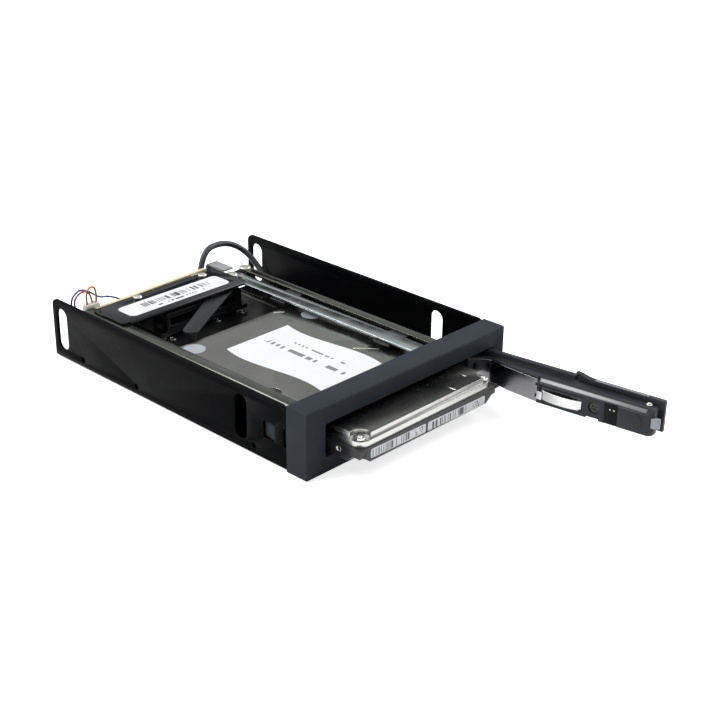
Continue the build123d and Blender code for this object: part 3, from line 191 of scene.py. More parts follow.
class Effects:
    """The node groups that several finishes share, each built once."""

    def __init__(self) -> None:
        """Builds every group."""
        self.worn_and_lit_edges = self._worn_and_lit_edges()
        self.handling = self._handling()
        self.streaks = self._streaks()
        self.code_bars = self._code_bars()
        self.panel = self._panel()

    @staticmethod
    def _group(
        name: str, inputs: dict[str, float | None], outputs: Iterable[str]
    ) -> tuple[Graph, bpy.types.NodeOutputs, bpy.types.NodeInputs]:
        """Starts a group.

        Args:
            name: The group's name.
            inputs: Default of each input; None is a vector with no default.
            outputs: Names of its outputs; Normal is a vector, and the others are numbers.

        Returns:
            The group's graph, the sockets of its input node and those of its output node.
        """
        tree = bpy.data.node_groups.new(name, "ShaderNodeTree")
        for key, value in inputs.items():
            kind = "NodeSocketVector" if value is None else "NodeSocketFloat"
            socket = tree.interface.new_socket(key, in_out="INPUT", socket_type=kind)
            if value is not None:
                socket.default_value = value
        for key in outputs:
            kind = "NodeSocketVector" if key == "Normal" else "NodeSocketFloat"
            tree.interface.new_socket(key, in_out="OUTPUT", socket_type=kind)
        graph = Graph(tree)
        return graph, graph.node("NodeGroupInput").outputs, graph.node("NodeGroupOutput").inputs

    def _worn_and_lit_edges(self) -> bpy.types.NodeTree:
        """Rounds edges in the shading and marks where they are, for an edge colour that is partly wear and
        partly painted highlight.
        """
        inputs = {"Radius": 0.0002, "Gain": 3.0}
        graph, given, result = self._group("worn and lit edges", inputs, ("Mask", "Normal"))
        rounded = graph.node("ShaderNodeBevel", {"Radius": given["Radius"]}, samples=6).outputs[0]
        flat = graph.node("ShaderNodeNewGeometry").outputs["Normal"]
        facing = graph.node("ShaderNodeVectorMath", {0: rounded, 1: flat}, operation="DOT_PRODUCT")
        away = graph.math("SUBTRACT", 1.0, facing.outputs["Value"])
        edge_patches = graph.noise(graph.place(), 0.0014, 3.0)
        raised = graph.math("MULTIPLY", away, given["Gain"])
        graph.fill(result["Mask"], graph.math("MULTIPLY", raised, edge_patches, clamp=True))
        graph.fill(result["Normal"], rounded)
        return graph.tree

    def _handling(self) -> bpy.types.NodeTree:
        """Soft cloudy marks of handling, with a few specks of dust."""
        inputs = {"Size": 0.012, "Seed": 0.0}
        graph, given, result = self._group("handling", inputs, ("Smudge", "Dust"))
        inputs = {0: graph.place(), 1: given["Seed"]}
        shifted = graph.node("ShaderNodeVectorMath", inputs, operation="ADD").outputs[0]
        frequency = graph.math("DIVIDE", 1.0, given["Size"])
        inputs = {"Vector": shifted, "Scale": frequency, "Detail": 3.0, "Roughness": 0.55}
        cloud = graph.node("ShaderNodeTexNoise", inputs).outputs[0]
        graph.fill(result["Smudge"], graph.ramp(cloud, 0.3, 0.7))
        graph.fill(result["Dust"], graph.ramp(graph.noise(shifted, 0.0011, 1.0), 0.74, 0.8))
        return graph.tree

    def _streaks(self) -> bpy.types.NodeTree:
        """Fine lines that rolling or brushing leaves along one way of a stretched vector."""
        graph, given, result = self._group("streaks", {"Place": None, "Pitch": 0.0006}, ("Lines",))
        frequency = graph.math("DIVIDE", 1.0, given["Pitch"])
        inputs = {"Vector": given["Place"], "Scale": frequency, "Detail": 4.0, "Roughness": 0.6}
        graph.fill(result["Lines"], graph.node("ShaderNodeTexNoise", inputs).outputs[0])
        return graph.tree

    def _code_bars(self) -> bpy.types.NodeTree:
        """Bars of uneven width along one coordinate, as on a plain stock label."""
        inputs = {"Along": 0.0, "Pitch": 0.0003, "Seed": 0.0}
        graph, given, result = self._group("code bars", inputs, ("Mask",))
        cell = graph.math("FLOOR", graph.math("DIVIDE", given["Along"], given["Pitch"]))
        inputs = {"W": graph.math("ADD", cell, given["Seed"])}
        random = graph.node("ShaderNodeTexWhiteNoise", inputs, noise_dimensions="1D").outputs["Value"]
        graph.fill(result["Mask"], graph.math("GREATER_THAN", random, 0.5))
        return graph.tree

    def _panel(self) -> bpy.types.NodeTree:
        """A rectangle's mask from two coordinates, its middle and its half sizes."""
        inputs = {"Across": 0.0, "Up": 0.0, "Middle Across": 0.0, "Middle Up": 0.0}
        inputs |= {"Half Width": 0.001, "Half Height": 0.001}
        graph, given, result = self._group("panel", inputs, ("Mask",))
        sides = []
        for coordinate, half in (("Across", "Half Width"), ("Up", "Half Height")):
            offset = graph.math("SUBTRACT", given[coordinate], given["Middle " + coordinate])
            sides.append(graph.math("LESS_THAN", graph.math("ABSOLUTE", offset), given[half]))
        graph.fill(result["Mask"], graph.math("MULTIPLY", *sides))
        return graph.tree


class Streak(Enum):
    """Which way a metal's rolling lines run, as the scale of its pattern along X, Y and Z."""

    NONE = None
    ALONG_X = (0.03, 1.0, 1.0)
    ALONG_Y = (1.0, 0.03, 1.0)


@dataclass(frozen=True)
class Finish:
    """A surface: its colour, gloss, grain, rolling lines, and edges lightened partly as wear and partly as
    painted highlight.
    """

    colour: Colour
    roughness: float
    metallic: float = 0.0
    specular: float = 0.5
    coat: float = 0.0
    coat_roughness: float = 0.1
    grain_pitch: float = 0.25
    grain_depth: float = 0.004
    tone_spread: float = 0.12
    rough_spread: float = 0.06
    smudge_size: float = 14.0
    edge_radius: float = 0.18
    edge_colour: Colour = (0.25, 0.26, 0.28)
    edge_share: float = 0.35
    dust_share: float = 0.0
    dust_colour: Colour = (0.6, 0.6, 0.58)
    streak_pitch: float = 0.5
    transmission: float = 0.0
    streak: Streak = Streak.NONE

    def painted(self, graph: Graph, effects: Effects) -> Socket:
        """Gives the colour before edge wear, painted edge highlight and dust, from nodes added to the
        material's graph.
        """
        handling = graph.use(effects.handling, Size=self.smudge_size * MM)
        darker = opaque(tuple(part * (1 - self.tone_spread) for part in self.colour))
        lighter = opaque(tuple(min(1.0, part * (1 + self.tone_spread)) for part in self.colour))
        return graph.blend(handling.outputs["Smudge"], darker, lighter)

    def build(self, name: str, effects: Effects) -> bpy.types.Material:
        """Makes the material of a given name with the shared node groups."""
        material = bpy.data.materials.new(name)
        graph = Graph.blank(material)
        handling = graph.use(effects.handling, Size=self.smudge_size * MM, Seed=0.37)
        edge_wear_and_highlight = graph.use(effects.worn_and_lit_edges, Radius=self.edge_radius * MM)
        colour = self.painted(graph, effects)
        # Edge colour: partly wear, partly a painted highlight along the edges.
        worn_and_lit = graph.math("MULTIPLY", edge_wear_and_highlight.outputs["Mask"], self.edge_share)
        colour = graph.blend(worn_and_lit, colour, opaque(self.edge_colour))
        if self.dust_share:
            dusty = graph.math("MULTIPLY", handling.outputs["Dust"], self.dust_share)
            colour = graph.blend(dusty, colour, opaque(self.dust_colour))
        rough_low, rough_high = self.roughness - self.rough_spread, self.roughness + self.rough_spread
        roughness = graph.spread(handling.outputs["Smudge"], max(0.02, rough_low), rough_high)
        grain = graph.noise(graph.place(), self.grain_pitch * MM, 3.0)
        if self.streak.value:
            place = graph.place(scale=self.streak.value)
            lines = graph.use(effects.streaks, Place=place, Pitch=self.streak_pitch * MM)
            grain = graph.math("ADD", lines.outputs["Lines"], graph.math("MULTIPLY", grain, 0.3))
            roughness = graph.math("ADD", roughness, graph.spread(lines.outputs["Lines"], -0.04, 0.06))
        bump_inputs = {"Strength": 1.0, "Distance": self.grain_depth * MM, "Height": grain}
        bump = graph.node("ShaderNodeBump", bump_inputs | {"Normal": edge_wear_and_highlight.outputs["Normal"]})
        inputs = {
            "Base Color": colour,
            "Roughness": roughness,
            "Metallic": self.metallic,
            "Specular IOR Level": self.specular,
            "Coat Weight": self.coat,
            "Coat Roughness": self.coat_roughness,
            "Transmission Weight": self.transmission,
            "Normal": bump.outputs[0],
        }
        shader = graph.node("ShaderNodeBsdfPrincipled", inputs)
        graph.node("ShaderNodeOutputMaterial", {"Surface": shader.outputs[0]})
        return material


@dataclass(frozen=True)
class Field:
    """One printed field of a label, in millimetres on the label's own axes."""

    across: float
    up: float
    width: float
    height: float
    pitch: float
    seed: float = 0.0
    rows: int = 1


@dataclass(frozen=True)
class PrintedLabel(Finish):
    """A label whose print is plain bars and rows of dashes."""

    origin: Point = (0.0, 0.0, 0.0)
    turn: Point = (0.0, 0.0, 0.0)
    ink: Colour = (0.08, 0.08, 0.09)
    row_share: float = 0.55
    fields: tuple[Field, ...] = ()

    def painted(self, graph: Graph, effects: Effects) -> Socket:
        """Gives the label's paper with its printed fields; see Finish.painted."""
        colour = super().painted(graph, effects)
        place = graph.place(turn=self.turn, origin=millimetres(*self.origin))
        across = graph.axis(place, 0)
        upward = graph.axis(place, 1)
        for part in self.fields:
            row_pitch = part.height / part.rows
            for row in range(part.rows):
                up = part.up + (row - (part.rows - 1) / 2) * row_pitch
                height = part.height if part.rows == 1 else self.row_share * row_pitch
                panel = graph.use(
                    effects.panel,
                    Across=across,
                    Up=upward,
                    Middle_Across=part.across * MM,
                    Middle_Up=up * MM,
                    Half_Width=part.width / 2 * MM,
                    Half_Height=height / 2 * MM,
                )
                pitch = part.pitch * MM
                bars = graph.use(effects.code_bars, Along=across, Pitch=pitch, Seed=part.seed + row)
                printed = graph.math("MULTIPLY", panel.outputs["Mask"], bars.outputs["Mask"])
                colour = graph.blend(printed, colour, opaque(self.ink))
        return colour


@dataclass(frozen=True)
class BoardLaminate(Finish):
    """A circuit board: green mask with tracks on its faces, bare cream laminate on its edges."""

    mask: Colour = (0.02, 0.12, 0.06)
    track: Colour = (0.05, 0.22, 0.1)
    face_axis: int = 1
    track_pitch: float = 1.6
    track_share: float = 0.42
    bare_above: float = 18.2

    def painted(self, graph: Graph, effects: Effects) -> Socket:
        """Gives the board's faces and edges their colours; see Finish.painted."""
        laminate = super().painted(graph, effects)
        inputs = {"Vector": graph.place(), "Scale": 1 / (self.track_pitch * MM), "Randomness": 0.35}
        cells = graph.node("ShaderNodeTexVoronoi", inputs, distance="CHEBYCHEV").outputs["Distance"]
        tracks = graph.math("GREATER_THAN", cells, self.track_share)
        face = graph.blend(tracks, opaque(self.mask), opaque(self.track))
        normal = graph.node("ShaderNodeNewGeometry").outputs["Normal"]
        side = graph.math("ABSOLUTE", graph.axis(normal, self.face_axis))
        on_face = graph.math("GREATER_THAN", side, 0.7)
        covered = graph.math("LESS_THAN", graph.axis(graph.place(), 2), self.bare_above * MM)
        return graph.blend(graph.math("MULTIPLY", on_face, covered), laminate, face)


@dataclass(frozen=True)
class PressedLid(Finish):
    """Sheet steel with a painted highlight on its drawn sides, which are lighter than its flat top, and a
    painted shade over the disc round the hub.
    """

    side_highlight_colour: Colour = (0.5, 0.5, 0.49)
    hub_centre: Point = (-4.55, -45.5, 0.0)
    hub_radius: float = 28.0
    hub_edge: float = 0.4
    hub_shade_share: float = 0.16
    hub_shade_colour: Colour = (0.03, 0.03, 0.025)
    hub_fade: Spot = (-0.02, -0.012)
    drawn_slopes: Spot = (0.98, 0.75)

    def painted(self, graph: Graph, effects: Effects) -> Socket:
        """Paints a highlight on what doesn't face up and a shade on the disc round the hub; see
        Finish.painted.
        """
        colour = super().painted(graph, effects)
        # Painted shade: the disc round the hub is darkened in place of the pressed ring's relief.
        place = graph.place(origin=millimetres(*self.hub_centre), scale=(1.0, 1.0, 0.0))
        reach = graph.node("ShaderNodeVectorMath", {0: place}, operation="LENGTH").outputs["Value"]
        inside = graph.ramp(reach, (self.hub_radius + self.hub_edge) * MM, self.hub_radius * MM)
        hub = graph.math("MULTIPLY", inside, graph.ramp(graph.axis(place, 1), *self.hub_fade))
        shadow = graph.math("MULTIPLY", hub, self.hub_shade_share)
        colour = graph.blend(shadow, colour, opaque(self.hub_shade_colour))
        normal = graph.node("ShaderNodeNewGeometry").outputs["Normal"]
        # Painted highlight: faces that don't point up are blended towards a lighter colour.
        drawn = graph.ramp(graph.axis(normal, 2), *self.drawn_slopes)
        return graph.blend(drawn, colour, opaque(self.side_highlight_colour))


def finishes() -> dict[str, Finish]:
    """Gives every finish by the name of the record's material slot."""
    # Edge colours: partly wear, partly a painted highlight on edges that catch the light.
    black_edges = {"edge_colour": (0.16, 0.17, 0.19), "edge_share": 0.5}
    bright_edges = {"edge_colour": (0.8, 0.82, 0.83), "edge_share": 0.25}
    paper = {"colour": (0.76, 0.78, 0.8), "roughness": 0.5}
    paper |= {"tone_spread": 0.02, "grain_depth": 0.002, "edge_share": 0.0}
    return {
        "frame_coat": Finish((0.0025, 0.0027, 0.0032), 0.38, specular=0.02, dust_share=0.04, **black_edges),
        "bezel_plastic": Finish(
            (0.033, 0.039, 0.047), 0.5, specular=0.03, grain_pitch=0.32, grain_depth=0.012, edge_radius=0.3,
            **black_edges
        ),
        "pin_steel": Finish((0.55, 0.55, 0.55), 0.3, metallic=1.0, **bright_edges),
        "cage_sheet": Finish(
            (0.095, 0.1, 0.088), 0.24, metallic=1.0, smudge_size=9.0, grain_depth=0.001,
            streak=Streak.ALONG_Y, **bright_edges
        ),
        "rail_plastic": Finish((0.014, 0.014, 0.016), 0.4, **black_edges),
        "screw_black": Finish((0.03, 0.03, 0.032), 0.35, metallic=0.6, **black_edges),
        "plate_coat": Finish(
            (0.006, 0.007, 0.009), 0.22, specular=0.2, coat=0.12, coat_roughness=0.08, **black_edges
        ),
        "screw_nickel": Finish((0.78, 0.77, 0.73), 0.24, metallic=1.0, **bright_edges),
        "label_paper": Finish(**paper),
        "rear_print": PrintedLabel(
            **paper,
            origin=(-10.3, 45.8, 0.0),
            fields=(Field(1.2, 0.9, 33.0, 3.6, 0.34, 3.0), Field(2.6, -2.9, 26.0, 1.1, 0.7, 8.0)),
        ),
        "cover_print": PrintedLabel(
            **paper,
            origin=(-7.3, -23.3, 0.0),
            turn=(0.0, 0.0, radians(-90)),
            ink=(0.2, 0.2, 0.21),
            fields=(Field(-1.0, 0.0, 40.0, 2.2, 1.3, 5.0), Field(0.0, -6.0, 30.0, 1.0, 1.0, 9.0)),
        ),
        "front_print": PrintedLabel(
            **paper,
            turn=(radians(-90), 0.0, 0.0),
            ink=(0.1, 0.1, 0.12),
            fields=(
                Field(-24.6, 9.1, 18.4, 2.7, 0.34, 1.0),
                Field(-10.4, 8.95, 3.9, 2.6, 0.45, 21.0, 3),
                Field(5.2, 8.5, 19.0, 2.7, 0.34, 41.0),
                Field(20.2, 8.3, 4.6, 2.6, 0.45, 61.0, 3),
            ),
        ),
        "board_fr4": BoardLaminate((0.66, 0.6, 0.42), 0.5, edge_share=0.0, tone_spread=0.06),
        "bracket_grey": Finish((0.3, 0.31, 0.32), 0.45, **bright_edges),
        "connector_black": Finish((0.012, 0.012, 0.013), 0.3, **black_edges),
        "connector_white": Finish((0.78, 0.76, 0.7), 0.4, edge_share=0.0, tone_spread=0.04),
        "wire_red": Finish((0.42, 0.1, 0.12), 0.35, coat=0.3, edge_share=0.0),
        "wire_blue": Finish((0.06, 0.09, 0.4), 0.35, coat=0.3, edge_share=0.0),
        "wire_orange": Finish((0.72, 0.3, 0.1), 0.35, coat=0.3, edge_share=0.0),
        "cable_black": Finish((0.03, 0.033, 0.04), 0.5, grain_pitch=0.5, grain_depth=0.05, edge_share=0.0),
        "door_plastic": Finish(
            (0.02, 0.023, 0.028), 0.42, specular=0.2, grain_pitch=0.3, grain_depth=0.008, **black_edges
        ),
        "band_steel": Finish((0.27, 0.27, 0.28), 0.18, metallic=1.0, grain_depth=0.0005, **bright_edges),
        "spring_steel": Finish((0.56, 0.56, 0.56), 0.28, metallic=1.0, grain_depth=0.001, **bright_edges),
        # A lighter glossy strip colour: painted highlight on the door's bevel and the lever's crest.
        "painted_bevel_highlight": Finish((0.15, 0.158, 0.168), 0.3, coat=0.7, coat_roughness=0.3, edge_share=0.0),
        "window_gloss": Finish((0.002, 0.002, 0.0025), 0.12, specular=0.1, edge_share=0.0),
        "lens_clear": Finish((0.8, 0.8, 0.72), 0.12, transmission=0.3, edge_share=0.0),
        "bolt_grey": Finish((0.33, 0.36, 0.39), 0.4, **bright_edges),
        "link_steel": Finish(
            (0.4, 0.44, 0.45), 0.24, metallic=1.0, smudge_size=10.0, grain_depth=0.0004, edge_share=0.05
        ),
        "lever_coat": Finish((0.014, 0.015, 0.017), 0.42, specular=0.25, **black_edges),
        "drive_cast": Finish((0.03, 0.03, 0.032), 0.42, metallic=0.4, **black_edges),
        "drive_lid": PressedLid(
            (0.2, 0.205, 0.195), 0.28, metallic=1.0, smudge_size=24.0, grain_depth=0.0015,
            streak=Streak.ALONG_X, **bright_edges
        ),
    }


@dataclass(frozen=True)
class Lamp:
    """One soft square lamp that faces the rack: its place and side in metres, its power in watts."""

    name: str
    place: Point
    size: float
    power: float

    def hang(self) -> None:
        """Adds the lamp to the scene."""
        data = bpy.data.lights.new(self.name, "AREA")
        data.size = self.size
        data.energy = self.power
        lamp = bpy.data.objects.new(self.name, data)
        lamp.location = self.place
        lamp.rotation_euler = (-Vector(self.place)).to_track_quat("-Z", "Y").to_euler()
        bpy.context.scene.collection.objects.link(lamp)


@dataclass
class Studio:
    """The floor, the lamps, the world and the camera."""

    camera_place: Point = (-0.33766, -0.36495, 0.23797)
    camera_right: Point = (0.69205, -0.72176, 0.01133)
    camera_up: Point = (0.29983, 0.30169, 0.90503)
    focal_length: float = 72.02
    floor_size: float = 6.0
    floor_gap: float = 0.0002
    floor_tone: float = 0.92
    floor_glow: float = 0.74
    ambient: float = 0.26
    card_distance: float = 0.2
    card_width: float = 0.6
    card_height: float = 0.072
    card_tone: float = 0.02
    lamps: tuple[Lamp, ...] = (
        Lamp("key", (-0.55, 0.5, 0.95), 0.9, 15.5),
        Lamp("fill", (0.9, -0.25, 0.7), 0.9, 9.5),
    )

    def camera(self) -> None:
        """Puts the camera where the photograph was taken from."""
        data = bpy.data.cameras.new("camera")
        data.lens = self.focal_length
        data.sensor_width = 36.0
        data.clip_start = 0.01
        body = bpy.data.objects.new("camera", data)
        bpy.context.scene.collection.objects.link(body)
        right, up = Vector(self.camera_right), Vector(self.camera_up)
        turn = Matrix((right, up, right.cross(up))).transposed()
        body.matrix_world = Matrix.Translation(self.camera_place) @ turn.to_4x4()
        bpy.context.scene.camera = body

    @staticmethod
    def _seen(graph: Graph) -> Socket:
        """Gives 1 for rays from the camera, a mirror or glass, and 0 for diffuse light."""
        rays = graph.node("ShaderNodeLightPath").outputs
        mirrored = graph.math("MAXIMUM", rays["Is Camera Ray"], rays["Is Glossy Ray"])
        return graph.math("MAXIMUM", mirrored, rays["Is Transmission Ray"])

    def surface(self, piece: Piece, name: str, tone: float, glow: float = 0.0) -> None:
        """Names a studio piece and gives it a plain matt surface.

        Args:
            piece: The piece.
            name: Its name.
            tone: Its grey.
            glow: Its own light where it is seen, if any.
        """
        piece.name = name
        material = bpy.data.materials.new(name)
        graph = Graph.blank(material)
        shader = graph.node("ShaderNodeBsdfDiffuse", {"Color": opaque((tone, tone, tone))})
        if glow:
            strength = graph.math("MULTIPLY", self._seen(graph), glow)
            light = graph.node("ShaderNodeEmission", {"Strength": strength})
            shader = graph.node("ShaderNodeAddShader", {0: shader.outputs[0], 1: light.outputs[0]})
        graph.node("ShaderNodeOutputMaterial", {"Surface": shader.outputs[0]})
        piece.data.materials.append(material)

    def floor(self) -> None:
        """Lays a plain pale floor under the rack."""
        bpy.ops.mesh.primitive_plane_add(size=self.floor_size, location=(0, 0, -self.floor_gap))
        floor = bpy.context.object
        self.surface(floor, "floor", self.floor_tone, self.floor_glow)

    def world(self) -> None:
        """Surrounds the scene with even white light."""
        world = bpy.data.worlds.new("studio")
        graph = Graph.blank(world)
        strength = graph.spread(self._seen(graph), self.ambient, 1.0)
        light = graph.node("ShaderNodeBackground", {"Strength": strength})
        graph.node("ShaderNodeOutputWorld", {"Surface": light.outputs[0]})
        bpy.context.scene.world = world

    def dark_card(self) -> None:
        """Stands a low dark card behind the rack, seen by reflections alone, to grade the bright metal."""
        away = Vector((self.camera_up[0], self.camera_up[1], 0.0)).normalized()
        middle = away * self.card_distance + Vector((0, 0, self.card_height / 2))
        turn = (radians(90), 0, atan2(away.y, away.x) - radians(90))
        bpy.ops.mesh.primitive_plane_add(size=1, location=middle, rotation=turn)
        card = bpy.context.object
        card.scale = (self.card_width, self.card_height, 1)
        self.surface(card, "dark_card", self.card_tone)
        card.visible_camera = False
        card.visible_diffuse = False
        card.visible_shadow = False
        card.visible_transmission = False

    def build(self) -> None:
        """Builds the whole studio."""
        self.camera()
        self.floor()
        self.world()
        self.dark_card()
        for lamp in self.lamps:
            lamp.hang()
        bpy.context.scene.view_settings.view_transform = "Standard"


OWN_LOOKS = {
    "rear_label": "rear_print",
    "cover_label": "cover_print",
    "front_labels": "front_print",
    "connector_board": "connector_black",
    "link_guides": "rail_plastic",
    "leaf_spring": "spring_steel",
}


class Workshop:
    """What every sub-assembly needs: the frame, the finishes and ways to add pieces."""

    def __init__(self, frame: dict) -> None:
        self.nodes = frame["nodes"]
        effects = Effects()
        self.materials = {slot: finish.build(slot, effects) for slot, finish in finishes().items()}
        record = frame["record"]
        self.slot_of = {row["node"]: row["material_slot"] for row in record["subparts"]}
        groups = record["behaviour"]["bodies"]
        self.body_of = {node: body for body, members in groups.items() for node in members}

    def dress(self, piece: Piece, material: bpy.types.Material) -> None:
        """Gives a piece one material."""
        piece.data.materials.clear()
        piece.data.materials.append(material)

    def look(self, node: str) -> bpy.types.Material:
        """Gives the material of a CAD node: its print or own tone, or else its slot's finish."""
        return self.materials[OWN_LOOKS.get(node, self.slot_of[node])]

    def dress_nodes(self) -> None:
        """Gives every CAD node its finish."""
        for name, node in self.nodes.items():
            self.dress(node, self.look(name))
            log.info("dressed %s", name)

    def seat(self, piece: Piece, name: str, body: str, slot: str) -> Piece:
        """Names a piece, dresses it, and makes it ride.

        Args:
            piece: The new piece, in place.
            name: Its name.
            body: The CAD body that carries it.
            slot: The record's material slot.

        Returns:
            The piece.
        """
        piece.name = name
        if not piece.data.materials:
            self.dress(piece, self.materials[slot])
        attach(piece, body)
        log.info("made %s on %s", name, body)
        return piece


class Bench:
    """Modelling moves that the new pieces share, all done with Blender's own operators."""

    @staticmethod
    def pick(piece: Piece) -> None:
        """Makes a piece the only selected and the active one."""
        bpy.ops.object.select_all(action="DESELECT")
        bpy.context.view_layer.objects.active = piece
        piece.select_set(True)

    @staticmethod
    def settle(piece: Piece) -> Piece:
        """Puts a piece's place, turn and scale into its mesh."""
        Bench.pick(piece)
        bpy.ops.object.transform_apply(location=True, rotation=True, scale=True)
        return piece

    @staticmethod
    def block(low: Point, high: Point, turn: float = 0.0, centre: Vector | None = None) -> Piece:
        """Adds a block between two corners, in millimetres.

        Args:
            low: Its lowest corner, before its turn.
            high: Its highest corner, before its turn.
            turn: Its turn about Z in radians.
            centre: Its middle in metres, where that isn't halfway between the corners.

        Returns:
            The settled piece.
        """
        first, second = Vector(millimetres(*low)), Vector(millimetres(*high))
        middle = centre or (first + second) / 2
        bpy.ops.mesh.primitive_cube_add(size=1, location=middle, rotation=(0, 0, turn))
        piece = bpy.context.object
        piece.scale = second - first
        return Bench.settle(piece)

    @staticmethod
    def plate(size: Point, turn: float = 0.0, centre: Vector | None = None) -> Piece:
        """Adds a block of a size in millimetres, round a point in metres or else the origin."""
        half = tuple(part / 2 for part in size)
        return Bench.block(tuple(-part for part in half), half, turn, centre)

    @staticmethod
    def disc(centre: Point, radius: float, height: float, axis: Point = UP, sides: int = 40) -> Piece:
        """Adds a round plate that stands on a point, in millimetres.

        Args:
            centre: The middle of its foot.
            radius: Its radius.
            height: How far it stands up along its axis.
            axis: Which way it faces.
            sides: How many sides its rim has.

        Returns:
            The settled piece.
        """
        way = Vector(axis).normalized()
        place = Vector(millimetres(*centre)) + way * height * MM / 2
        turn = way.to_track_quat("Z", "Y").to_euler()
        inputs = {"radius": radius * MM, "depth": height * MM, "vertices": sides}
        bpy.ops.mesh.primitive_cylinder_add(location=place, rotation=turn, **inputs)
        return Bench.settle(bpy.context.object)

    @staticmethod
    def head(centre: Point, radius: float, height: float, socket: Spot, axis: Point = UP) -> Piece:
        """Adds a round head with a socket in its far face, in millimetres.

        Args:
            centre: The middle of its foot.
            radius: Its radius.
            height: How far it stands up along its axis.
            socket: The width of the rim round the socket, and the socket's depth.
            axis: Which way it faces, as a unit vector.

        Returns:
            The settled piece.
        """
        piece = Bench.disc(centre, radius, height, axis, 32)
        rim, depth = socket
        middle = Vector(centre) + height * Vector(axis)
        Bench.push_face(piece, middle, rim, tuple(-depth * part for part in axis))
        return piece

    @staticmethod
    def mark(piece: Piece, test: Callable[[Vector], bool], kind: str = "VERT") -> None:
        """Selects what lies where a test says, and opens edit mode.

        Args:
            piece: The piece.
            test: Takes a place in millimetres, or an edge's run.
            kind: VERT for vertices, FACE for faces by their middles, EDGE for edges by their run.
        """
        Bench.pick(piece)
        mesh = piece.data
        for group in (mesh.vertices, mesh.edges, mesh.polygons):
            group.foreach_set("select", [False] * len(group))
        if kind == "FACE":
            for face in mesh.polygons:
                face.select = test(face.center / MM)
        elif kind == "EDGE":
            for edge in mesh.edges:
                first, second = (mesh.vertices[index].co for index in edge.vertices)
                edge.select = test((second - first) / MM)
        else:
            for vertex in mesh.vertices:
                vertex.select = test(vertex.co / MM)
        bpy.context.tool_settings.mesh_select_mode = (kind == "VERT", kind == "EDGE", kind == "FACE")
        bpy.ops.object.mode_set(mode="EDIT")

    @staticmethod
    def move(piece: Piece, test: Callable[[Vector], bool], shift: Point) -> None:
        """Moves the vertices that a test picks by a shift in millimetres."""
        Bench.mark(piece, test)
        bpy.ops.transform.translate(value=millimetres(*shift))
        bpy.ops.object.mode_set(mode="OBJECT")

    @staticmethod
    def push_face(piece: Piece, middle: Vector, inset: float, shift: Point) -> None:
        """Insets the face that has a given middle, and pushes what is left, in millimetres."""
        Bench.mark(piece, lambda p: (p - middle).length < NEAR, "FACE")
        bpy.ops.mesh.inset(thickness=inset * MM)
        bpy.ops.mesh.extrude_region_move(TRANSFORM_OT_translate={"value": millimetres(*shift)})
        bpy.ops.object.mode_set(mode="OBJECT")

    @staticmethod
    def round_corners(piece: Piece, axis: int, radius: float, segments: int) -> None:
        """Rounds the edges that run along an axis by a radius in millimetres."""
        Bench.mark(piece, lambda run: abs(run[axis]) > NEAR, "EDGE")
        bpy.ops.mesh.bevel(offset=radius * MM, segments=segments)
        bpy.ops.object.mode_set(mode="OBJECT")

    @staticmethod
    def joined(pieces: list[Piece]) -> Piece:
        """Joins pieces into the first of them and returns it."""
        Bench.pick(pieces[0])
        for piece in pieces:
            piece.select_set(True)
        bpy.ops.object.join()
        return pieces[0]

    @staticmethod
    def apply(piece: Piece, kind: str, **settings) -> Piece:
        """Adds a modifier, sets it and applies it."""
        Bench.pick(piece)
        modifier = piece.modifiers.new(kind.lower(), kind)
        for name, value in settings.items():
            setattr(modifier, name, value)
        bpy.ops.object.modifier_apply(modifier=modifier.name)
        return piece

    @staticmethod
    def combine(piece: Piece, tool: Piece, operation: str) -> Piece:
        """Cuts, joins or trims a piece by a tool, which is then removed."""
        Bench.apply(piece, "BOOLEAN", object=tool, operation=operation, solver="EXACT")
        bpy.data.objects.remove(tool, do_unlink=True)
        return piece

    @staticmethod
    def soften(piece: Piece, width: float, segments: int = 2) -> Piece:
        """Breaks a piece's sharp edges by a width in millimetres and smooths its shading."""
        settings = {"width": width * MM, "segments": segments, "limit_method": "ANGLE"}
        settings |= {"angle_limit": SHARP_ANGLE, "miter_outer": "MITER_ARC"}
        Bench.apply(piece, "BEVEL", **settings)
        bpy.ops.object.shade_smooth_by_angle(angle=SMOOTH_ANGLE)
        return piece

    @staticmethod
    def merged_copy(shop: Workshop, node: str) -> Piece:
        """Copies a CAD node in its place and joins the loose triangles of the copy."""
        piece = bpy.data.objects.new(node + "_finished", shop.nodes[node].data.copy())
        bpy.context.scene.collection.objects.link(piece)
        Bench.pick(piece)
        bpy.ops.object.mode_set(mode="EDIT")
        bpy.ops.mesh.select_all(action="SELECT")
        bpy.ops.mesh.remove_doubles(threshold=WELD_REACH)
        bpy.ops.mesh.dissolve_limited(angle_limit=FLAT_ANGLE)
        bpy.ops.object.mode_set(mode="OBJECT")
        return piece

    @staticmethod
    def stand_in(shop: Workshop, piece: Piece, node: str) -> Piece:
        """Puts a piece in a CAD node's stead, with the node's body and finish."""
        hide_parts(node)
        shop.dress(piece, shop.look(node))
        return shop.seat(piece, node + "_finished", shop.body_of[node], shop.slot_of[node])

    @staticmethod
    def break_edges(shop: Workshop, node: str, width: float) -> Piece:
        """Puts a copy whose sharp edges are broken by a width in millimetres in a CAD node's stead."""
        return Bench.stand_in(shop, Bench.soften(Bench.merged_copy(shop, node), width), node)


